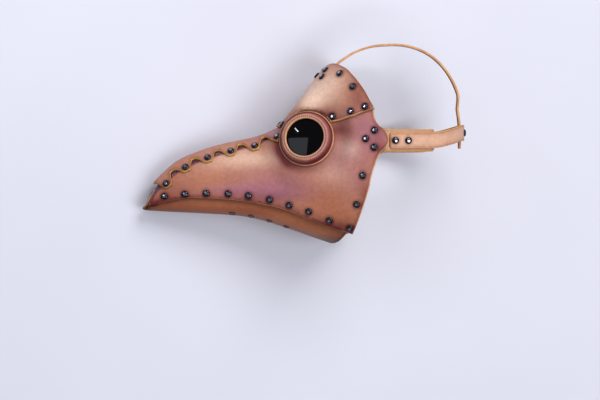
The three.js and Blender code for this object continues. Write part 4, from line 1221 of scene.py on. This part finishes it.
FLANGE_OUTLINE = [
    [FLANGE_HOLE_RADIUS, 0], [30, 0], [34.2, 0], [34.8, 0.25], [FLANGE_RADIUS, 0.9], [FLANGE_RADIUS, 1.5],
    [FLANGE_RADIUS, 2.2], [34.8, 2.6], [34.3, 2.8], [33.4, 2.82], [32.8, 2.74], [31, FLANGE_FACE],
    [28, FLANGE_FACE], [FLANGE_HOLE_RADIUS, FLANGE_FACE],
]
FLANGE_SLOTS = [2] * 3 + [1] * 5 + [0] * 5 + [2]
FLANGE_SEGMENTS = 160
LENS_SEGMENTS = 96
LENS_DOME = [24.6, 2.05]
LENS_DOME_FROM = 3.75
LENS_OUTLINE = [[0, 0], [20, 0], [24.9, 0], [25.3, 0.4], [25.3, 3.2], [25, 3.6]] + [
    [LENS_DOME[0] * math.cos(angle), LENS_DOME_FROM + LENS_DOME[1] * math.sin(angle)]
    for angle in np.linspace(0.12, 1.45, 16)
] + [[0, 5.8]]

# The eyes' paint, largely painted shade and painted highlight. Its bands are [distance from the axis,
# width, amount].
UNBURNT_EDGE = 9  # a distance from the cut edge that is past the darkening
FLANGE_PAINT = 0.6
FLANGE_CREVICE_SHADE_FROM = [33.2, 34.2]
FLANGE_FOOT_SHADE_BELOW = [1.5, 2.3]
FLANGE_EDGE_FROM = 34.7
FLANGE_FRONT_DARK = 0.5
FLANGE_TRIM_AND_HIGHLIGHT_FROM = [34, 34.6]
FLANGE_TRIM_AND_HIGHLIGHT = [0.2, 0.65]
# The ring's paint: painted shade in the stitch groove, on the outer slope, on the back side and at the
# foot, and a painted highlight along its top
RING_GROOVE_SHADE = [STITCH_RADIUS, 0.95, 1.1]
RING_LIP_AND_HIGHLIGHT_BANDS = [[25.3, 0.9, 0.5], [28.2, 0.9, 0.3]]
RING_SLOPE_FROM = [28.6, 31]
RING_SLOPE_SHADE = [0.35, 0.55]
RING_SHADE_DOWN = [0.55, -0.83]
RING_BEHIND = {"burn": 0.16, "mauve": 0.4}
RING_FOOT = 1.5
RING_FOOT_SHADE = 0.3
RING_WARM = 0.12
RING_MAUVE = 0.35
RING_SHADE_PLUM = 0.35
RING_SHADE_PLUM_FROM = 0.35


def ring_ripple(angles, radii, heights):
    """Pulls the leather in at each stitch, and lets the outer slope fold a little."""
    pull = (0.5 + 0.5 * np.cos(STITCHES * angles)) * (heights > RING_FACE_FROM)
    waves = np.sin(FOLDS[0] * angles + FOLDS[1] * np.sin(FOLDS[2] * angles))
    fold = waves * smoothstep(radii, *FOLD_RADII) * (heights > FOLDS_FROM)
    sunk = pull * (banded(radii, STITCH_PULL) + banded(radii, LIP_PULL))
    return radii + FOLD_OUT * fold, heights - sunk + FOLD_UP * fold


def stitch(centre, along, up):
    """One short sunk stitch, a bent capsule."""
    turned = np.linspace(0, 2 * np.pi, STITCH_SEGMENTS, endpoint=False)
    circle = np.outer(np.cos(turned), np.cross(up, along)) + np.outer(np.sin(turned), up)
    points, rings = [], []
    for step, size in STITCH_OUTLINE:
        middle = centre + along * (step * STITCH_LENGTH / 2) - up * (STITCH_BEND * step**2)
        rings.append([len(points) + k for k in range(STITCH_SEGMENTS)])
        points.extend(middle + STITCH_THICKNESS * size * circle)
    faces = [face for a, b in zip(rings, rings[1:]) for face in faces_between(a, b)]
    faces += [rings[0][::-1], rings[-1]]
    points = np.array(points)
    return points, outward(points, faces), [0] * len(faces)


def flange_paint(points, side):
    centre, axis = eye(side)
    _, reach, height = about_axis(points, centre, axis)
    behind = np.clip((points - centre)[:, 0] / FLANGE_RADIUS, 0, 1)
    edge_side = reach > FLANGE_EDGE_FROM
    values = painted(points, UNBURNT_EDGE, strength=FLANGE_PAINT)
    # Painted shade in the crevice next to the ring
    burn = np.clip(values["burn"] + 1 - smoothstep(reach, *FLANGE_CREVICE_SHADE_FROM), 0, 1)
    # Painted shade at the foot of the flange's outer edge
    below = 1 - smoothstep(height - EYE_LAYER, *FLANGE_FOOT_SHADE_BELOW)
    burn = np.maximum(burn, below * edge_side)
    # The flange's rim is darker towards the front
    values["burn"] = np.maximum(burn, FLANGE_FRONT_DARK * (1 - behind) * (reach > FLANGE_CREVICE_SHADE_FROM[1]))
    # A tan line on the flange's outer edge, brightening towards the back as a painted highlight
    values["trim"] = (FLANGE_TRIM_AND_HIGHLIGHT[0] + FLANGE_TRIM_AND_HIGHLIGHT[1] * behind) * smoothstep(reach, *FLANGE_TRIM_AND_HIGHLIGHT_FROM)
    return values


def ring_paint(points, base, axis):
    _, reach, height = about_axis(points, base, axis)
    first, second = frame_of(axis)
    away = points - base
    turned = np.arctan2(away @ second, away @ first)
    creases = 0.5 + 0.5 * np.cos(STITCHES * turned)
    down = away[:, ::2] @ RING_SHADE_DOWN / np.maximum(reach, 1)
    behind = np.clip(away[:, 0] / np.maximum(reach, 1), 0, 1)
    slope = smoothstep(reach, *RING_SLOPE_FROM)
    # Painted shade: dark at the stitches in the groove, on the outer slope most on its lower side, on the
    # back side, which is also more mauve, and at the foot
    burn = banded(reach, RING_GROOVE_SHADE) * (height > RING_FACE_FROM) * creases**2
    burn = burn + slope * (RING_SLOPE_SHADE[0] + RING_SLOPE_SHADE[1] * np.clip(down, 0, 1))
    burn = burn + RING_BEHIND["burn"] * behind + RING_FOOT_SHADE * (1 - smoothstep(height, 0, RING_FOOT))
    return {
        "edge": UNBURNT_EDGE, "burn": np.clip(burn, 0, 1), "warm": RING_WARM,
        # A pale band at the lip, and a painted highlight band along the ring's top
        "pale": sum(banded(reach, band) for band in RING_LIP_AND_HIGHLIGHT_BANDS),
        "mauve": RING_MAUVE * slope + RING_BEHIND["mauve"] * behind,
        # Dark plum on the lower slope, as painted shade
        "plum": RING_SHADE_PLUM * slope * np.clip(down - RING_SHADE_PLUM_FROM, 0, 1),
    }


def stitch_circle(base, axis):
    """The stitches round a ring, each across its own part of the circle."""
    first, second = frame_of(axis)
    stitches = []
    for angle in 2 * np.pi * np.arange(STITCHES) / STITCHES:
        around = math.cos(angle) * first + math.sin(angle) * second
        along = -math.sin(angle) * first + math.cos(angle) * second
        stitches.append(stitch(base + around * STITCH_RADIUS + axis * STITCH_HEIGHT, along, axis))
    return joined(stitches)


def make_eyes():
    leather = [SKIN_LEATHER, TAN_EDGE, FLESH]
    for side_name, side in LEFT_RIGHT:
        centre, axis = eye(side)
        base = centre + axis * RING_BASE
        flange = lathed(FLANGE_OUTLINE, FLANGE_SLOTS, FLANGE_SEGMENTS, centre + axis * EYE_LAYER, axis)
        add_piece(f"eye_flange_{side_name}_leather", *flange, leather, [f"eye_flange_{side_name}"],
                  "leather_tan", flange_paint(flange[0], side))
        ring = lathed(RING_OUTLINE, RING_SLOTS, STITCHES * 4, base, axis, ring_ripple)
        add_piece(f"eye_ring_{side_name}_leather", *ring, leather, [f"eye_ring_{side_name}"],
                  "leather_tan", ring_paint(ring[0], base, axis))
        add_piece(f"eye_ring_{side_name}_stitches", *stitch_circle(base, axis), [THREAD], [], "leather_tan")
        lens = lathed(LENS_OUTLINE, [0] * len(LENS_OUTLINE), LENS_SEGMENTS, base, axis)
        add_piece(f"lens_{side_name}_glass", *lens, [GLASS], [f"lens_{side_name}"], "lens_glass")


# The straps
CORNER_RADIUS = 3.2
CORNER_STEPS = 8
BAND_ROWS = 20
BAND_COLUMNS = 300
BAND_STEP = 0.02  # radians, for the band's direction
CROWN_STEP = 0.01
PRESSED_LINE = [2.1, 0.45, 0.5]
STRAP_RIVET_HALO = [5.2, 1.6, 0.5]
NO_RIVET = 99  # a distance that is past a rivet's ring
STRAP_UNBURNT = 1.5
STRAP_PALE_FROM = [3, 8]
STRAP_PALE = 0.4
STRAP_WARM = 0.15


def head_loop(angle):
    """Where the straps run round the head, in plan: an oval at the back, and the skin in front."""
    flat = np.abs(angle) > np.pi / 2
    x = HEAD_CENTRE - HEAD_HALF_WIDTH * (np.abs(angle) - np.pi / 2)
    place = from_ridge(x, -distance_at(x, STRAP_LEVEL))
    x = np.where(flat, x, HEAD_CENTRE + HEAD_HALF_LENGTH * np.cos(angle))
    return x, np.where(flat, np.sign(angle) * place[..., 1], -HEAD_HALF_WIDTH * np.sin(angle))


def loop_angle(x):
    """The loop's angle, from the back of the head, at a place beside the face."""
    return math.pi / 2 + (HEAD_CENTRE - x) / HEAD_HALF_WIDTH


def band_point(angle, across, width, height):
    x, y = head_loop(angle)
    x0, y0 = head_loop(angle - BAND_STEP)
    x1, y1 = head_loop(angle + BAND_STEP)
    along = np.hypot(x1 - x0, y1 - y0)
    rise = STRAP_RISE * (1 - smoothstep(np.abs(angle), *np.radians(STRAP_RISE_ANGLES)))
    return np.stack([x - height * (y1 - y0) / along, y + height * (x1 - x0) / along,
                     STRAP_LEVEL + rise + across * width / 2], axis=-1)


def band_shares(length, columns):
    """Shares of a band's length, closer together at its rounded ends."""
    end = CORNER_RADIUS / length
    corner = np.linspace(0, end, CORNER_STEPS + 1)[:-1]
    return np.concatenate([corner, np.linspace(end, 1 - end, columns), 1 - corner[::-1]])


def rounded_ends(shares, length, half):
    """The half width of a band near its ends, less the corners' rounding."""
    near = np.minimum(shares, 1 - shares) * length
    cut = np.clip(CORNER_RADIUS - near, 0, CORNER_RADIUS)
    return half - (CORNER_RADIUS - np.sqrt(CORNER_RADIUS**2 - cut**2))


def strap_paint(rivets):
    """The strap's attributes: a line pressed along its edges, and a dark ring round each of its rivets."""
    def paint(points, edge, _):
        near = nearest(points, np.array(rivets)) if rivets else NO_RIVET
        burn = banded(edge, PRESSED_LINE) + banded(near, STRAP_RIVET_HALO)
        return {"edge": edge + STRAP_UNBURNT, "burn": np.clip(burn, 0, 1), "warm": STRAP_WARM,
                "pale": STRAP_PALE * smoothstep(edge, *STRAP_PALE_FROM)}

    return paint


def make_band(name, at, length, half_width, cut, rivets=(), columns=BAND_COLUMNS, rows=BAND_ROWS):
    """A strap whose point at(share, across, height) lies across its half width, from -1 to 1."""
    shares = band_shares(length, columns)
    half = half_width(shares)
    share = shares[:, None] + np.zeros((1, rows + 1))
    across = np.linspace(-1, 1, rows + 1) * (rounded_ends(shares, length, half) / half)[:, None]
    keep = np.ones((len(shares) - 1, rows), bool)
    add_leather(f"{name}_leather", at(share, across, LEATHER), at(share, across, 0.0), keep,
                [STRAP_LEATHER, cut, FLESH], [name], "leather_strap", strap_paint(rivets))


def strap_rivet_seats():
    seats = []
    angles = [math.acos((x - HEAD_CENTRE) / HEAD_HALF_LENGTH) for x in STRAP_RIVETS]
    angles.append(math.radians(STRAP_BACK_RIVET_ANGLE))
    outer = STRAP_LAYER + LEATHER
    for i, angle in enumerate(angles):
        for side_name, side in LEFT_RIGHT:
            foot = band_point(np.array(side * angle), 0, STRAP_WIDTH, outer)
            normal = unit(band_point(np.array(side * angle), 0, STRAP_WIDTH, outer + 1) - foot)
            seats.append((f"strap_rivet_{i + 1}_{side_name}", foot, normal, 2 * LEATHER + 2 * GAP))
    return seats


BAND_RIVETS = strap_rivet_seats()


def crown_line(share):
    """Where the top strap runs, in side view: along the ridge, then over the crown and down."""
    front = lerp(TOP_STRAP_FRONT, CROWN_TOP[0], share / CROWN_SHARE)
    end = math.asin(-TOP_STRAP_END / CROWN_TOP[1])
    angle = lerp(np.pi / 2, -end, np.clip((share - CROWN_SHARE) / (1 - CROWN_SHARE), 0, 1))
    reach = HEAD_CENTRE + HEAD_HALF_LENGTH - CROWN_TOP[0]
    sine = np.sin(angle)
    back_x = CROWN_TOP[0] + reach * np.abs(np.cos(angle)) ** CROWN_POWER
    back_z = CROWN_TOP[1] * np.sign(sine) * np.abs(sine) ** CROWN_POWER
    on_ridge = share < CROWN_SHARE
    return np.where(on_ridge, front, back_x), np.where(on_ridge, ridge(front), back_z)


def make_straps():
    anchor_from, anchor_to = loop_angle(ANCHOR_FRONT), math.radians(ANCHOR_END_ANGLE)

    def anchor_half(share):
        angle = lerp(anchor_from, anchor_to, share)
        flare = smoothstep(angle, loop_angle(ANCHOR_FLARE_TO), loop_angle(ANCHOR_FLARE_FROM))
        return lerp(ANCHOR_WIDTH, ANCHOR_FLARE, flare) / 2

    for side_name, side in LEFT_RIGHT:

        def anchor_at(share, across, height, side=side):
            angle = lerp(anchor_from, anchor_to, share)
            points = band_point(angle, across, 2 * anchor_half(share), ANCHOR_LAYER + height)
            return points if side > 0 else mirrored(points)

        make_band(f"strap_anchor_{side_name}", anchor_at, ANCHOR_LENGTH, anchor_half, OCHRE_EDGE,
                  columns=150, rows=30)

    strap_from = math.acos((STRAP_START - HEAD_CENTRE) / HEAD_HALF_LENGTH)

    def strap_half(share):
        return np.full_like(share, STRAP_WIDTH / 2)

    def strap_at(share, across, height):
        angle = lerp(strap_from, -strap_from, share)
        return band_point(angle, across, STRAP_WIDTH, STRAP_LAYER + height)

    make_band("head_strap", strap_at, STRAP_LENGTH, strap_half, OCHRE_EDGE,
              [point for _, point, _, _ in BAND_RIVETS])

    def crown_half(share):
        flare = 1 - smoothstep(crown_line(share)[0], *TOP_STRAP_FLARE_X)
        return lerp(STRAP_WIDTH, TOP_STRAP_FLARE, flare) / 2

    def crown_at(share, across, height):
        x, z = crown_line(share)
        x0, z0 = crown_line(np.maximum(share - CROWN_STEP, 0))
        x1, z1 = crown_line(np.minimum(share + CROWN_STEP, 1))
        along = np.hypot(x1 - x0, z1 - z0)
        inward = (TOP_STRAP_LAYER + LEATHER - STRAP_LAYER + 4 * GAP) * smoothstep(share, *TOP_STRAP_INWARD)
        tuck = TOP_STRAP_TUCK * (1 - smoothstep(x, *TOP_STRAP_FLARE_X))
        lift = TOP_STRAP_LAYER + height - inward - tuck
        return np.stack([x - lift * (z1 - z0) / along, crown_half(share) * across,
                         z + lift * (x1 - x0) / along], axis=-1)

    make_band("top_strap", crown_at, TOP_STRAP_LENGTH, crown_half, TAN_EDGE)


# The rivets
RIVET_SEGMENTS = 28
RIVET_WEAR_AND_HIGHLIGHT = [0.9, 2.5]
SHANK_RADIUS = 1.5
SHANK_PAST = 0.2
CAP_SEAT = 0.1
SHANK_SEGMENTS = 12
CAP_SEGMENTS = 20
CAP_OUTLINE = [[0, 0], [3.2, 0], [3.6, 0.2], [3.7, 0.5], [3.4, 0.85], [2.4, 1.05], [1.6, 0.85], [0, 0.7]]
HEAD_OUTLINE = [
    [0, 0], [3.6, 0], [4.3, 0.05], [4.5, 0.3], [4.47, 0.66], [4.32, 1.1], [4.02, 1.58], [3.56, 1.98],
    [2.9, 2.27], [2.05, 2.47], [1.1, 2.57], [0, 2.6],
]


def rivet_parts(point, normal, through):
    """A rivet's head on the leather, its shank through the layers and its cap on the inside."""
    foot = -through - SHANK_PAST
    shank = [[0, foot], [SHANK_RADIUS, foot], [SHANK_RADIUS, -CAP_SEAT], [0, -CAP_SEAT]]
    inner = point - normal * (through + CAP_SEAT)
    return [
        lathed(HEAD_OUTLINE, [0] * len(HEAD_OUTLINE), RIVET_SEGMENTS, point - normal * RIVET_SEAT, normal),
        lathed(shank, [1] * len(shank), SHANK_SEGMENTS, point, normal),
        lathed(CAP_OUTLINE, [1] * len(CAP_OUTLINE), CAP_SEGMENTS, inner, -normal),
    ]


def add_rivet(name, point, normal, through, node_names=()):
    points, faces, slots = joined(rivet_parts(point, normal, through))
    # A bright worn centre, partly a painted highlight
    worn = 1 - smoothstep(about_axis(points, point, normal)[1], *RIVET_WEAR_AND_HIGHLIGHT)
    add_piece(f"{name}_metal", points, faces, slots, [NICKEL, BRASS], node_names, "rivet_metal",
              {"worn": worn})


def make_rivets():
    own_nodes = ("jaw_rivet", "back_rivet", "tab_rivet", "brow_rivet")
    for name, point, normal, through in LEFT_RIVETS:
        for side_name, side in LEFT_RIGHT:
            mirror = np.array([1, side, 1])
            own = [f"{name}_{side_name}"] if name.startswith(own_nodes) else []
            add_rivet(f"{name}_{side_name}", point * mirror, normal * mirror, through, own)
    for seat in BAND_RIVETS:
        add_rivet(*seat)
    inside = TOP_STRAP_LAYER - TOP_STRAP_TUCK
    add_rivet(*rivet_seat("forehead_rivet_front", FOREHEAD_RIVET_FRONT, 0, BROW_OUTER, inside))


# The vent eyelets under the beak
EYELET_SEGMENTS = 28
# The inner disc and wall take the painted hole shade
EYELET_SLOTS = [1, 1, 0, 0, 0, 0, 0, 0, 0]
EYELET_OUTLINE = [
    [0, -1.1], [2.7, -1.1], [2.9, -0.6], [3.1, 0.2], [3.4, 0.6], [3.8, 0.62], [4.15, 0.35], [4.25, -0.1],
    [4.2, -1.4], [0, -1.4],
]


def make_vents():
    for i, x in enumerate(VENT_SPOTS):
        for side_name, side in LEFT_RIGHT:
            at, distance = np.array(float(x)), np.array(-side * VENT_FROM_KEEL)
            normal = normal_of(from_keel, at, distance)
            eyelet = lathed(EYELET_OUTLINE, EYELET_SLOTS, EYELET_SEGMENTS, from_keel(at, distance), normal)
            add_piece(f"vent_{i + 1}_{side_name}_eyelet", *eyelet, [NICKEL, VENT_HOLE_SHADE], [], "rivet_metal")


make_side_panels()
make_ridge_strip()
make_brow()
make_chin()
make_eyes()
make_straps()
make_rivets()
make_vents()


# The floor, the lights and the camera
FLOOR_HALF = 6.0
LOOK_AT = Vector((0, 0, 0.1))


def add_floor():
    corners = [(x * FLOOR_HALF, y * FLOOR_HALF, 0) for x, y in ((-1, -1), (1, -1), (1, 1), (-1, 1))]
    mesh = bpy.data.meshes.new("floor")
    mesh.from_pydata(corners, [], [(0, 1, 2, 3)])
    floor = bpy.data.objects.new("floor", mesh)
    bpy.context.scene.collection.objects.link(floor)
    n = Nodes("floor_pale")
    colour = n.mix(n.span(n.noise(400, 2), 0.3, 0.7), tone(206, 207, 220), tone(212, 213, 225))
    mesh.materials.append(n.finish(colour, 0.9, None, Specular_IOR_Level=0.1))


def add_light(name, place, long_side, size, power, colour):
    """A soft light of two sizes that faces the mask, with its long side in the given direction."""
    data = bpy.data.lights.new(name, "AREA")
    data.shape = "RECTANGLE"
    data.size, data.size_y = size
    data.energy = power
    data.color = colour
    light = bpy.data.objects.new(name, data)
    back = (Vector(place) - LOOK_AT).normalized()
    along = (Vector(long_side) - back * back.dot(Vector(long_side))).normalized()
    turned = Matrix((along, back.cross(along), back)).transposed()
    light.matrix_world = Matrix.Translation(Vector(place)) @ turned.to_4x4()
    bpy.context.scene.collection.objects.link(light)


def add_camera():
    yaw = math.radians(VIEW_YAW)
    into = np.array([math.sin(yaw), math.cos(yaw), 0])
    right = np.array([math.cos(yaw), -math.sin(yaw), 0])
    up = np.array([0, 0, 1])
    place = right * VIEW_CENTRE[0] + up * VIEW_CENTRE[1] - into * VIEW_DISTANCE
    turned = np.stack([ROTATION @ right, ROTATION @ up, -(ROTATION @ into)], axis=1)
    data = bpy.data.cameras.new("camera")
    data.lens = VIEW_LENS
    data.sensor_width = SENSOR
    data.clip_end = 100
    camera = bpy.data.objects.new("camera", data)
    camera.matrix_world = Matrix.Translation(laid(place)) @ Matrix(turned.tolist()).to_4x4()
    bpy.context.scene.collection.objects.link(camera)
    bpy.context.scene.camera = camera


add_floor()
add_light("key", (0.3, 1.7, 2.0), (1, 0, 0), (1.5, 1.5), 50, (1.0, 0.985, 0.965))
add_light("over", (0.6, -0.5, 2.6), (1, 0, 0), (1.6, 1.6), 39, (0.985, 0.985, 1.0))
add_light("lens_streak", (-1.81, 1.325, 1.43), (0.04, -0.063, 0.123), (0.27, 0.018), 1.9, (1.0, 1.0, 1.0))
add_light("lens_patch", (-1.13, 0.37, 0.96), (0.212, 0.06, 0.263), (0.52, 0.54), 2.5, (0.82, 0.9, 1.0))
world = bpy.data.worlds.new("world")
world.use_nodes = True
world.node_tree.nodes["Background"].inputs["Color"].default_value = (0.93, 0.94, 1.0, 1.0)
world.node_tree.nodes["Background"].inputs["Strength"].default_value = 0.27
bpy.context.scene.world = world
add_camera()
bpy.context.scene.view_settings.view_transform = "Standard"
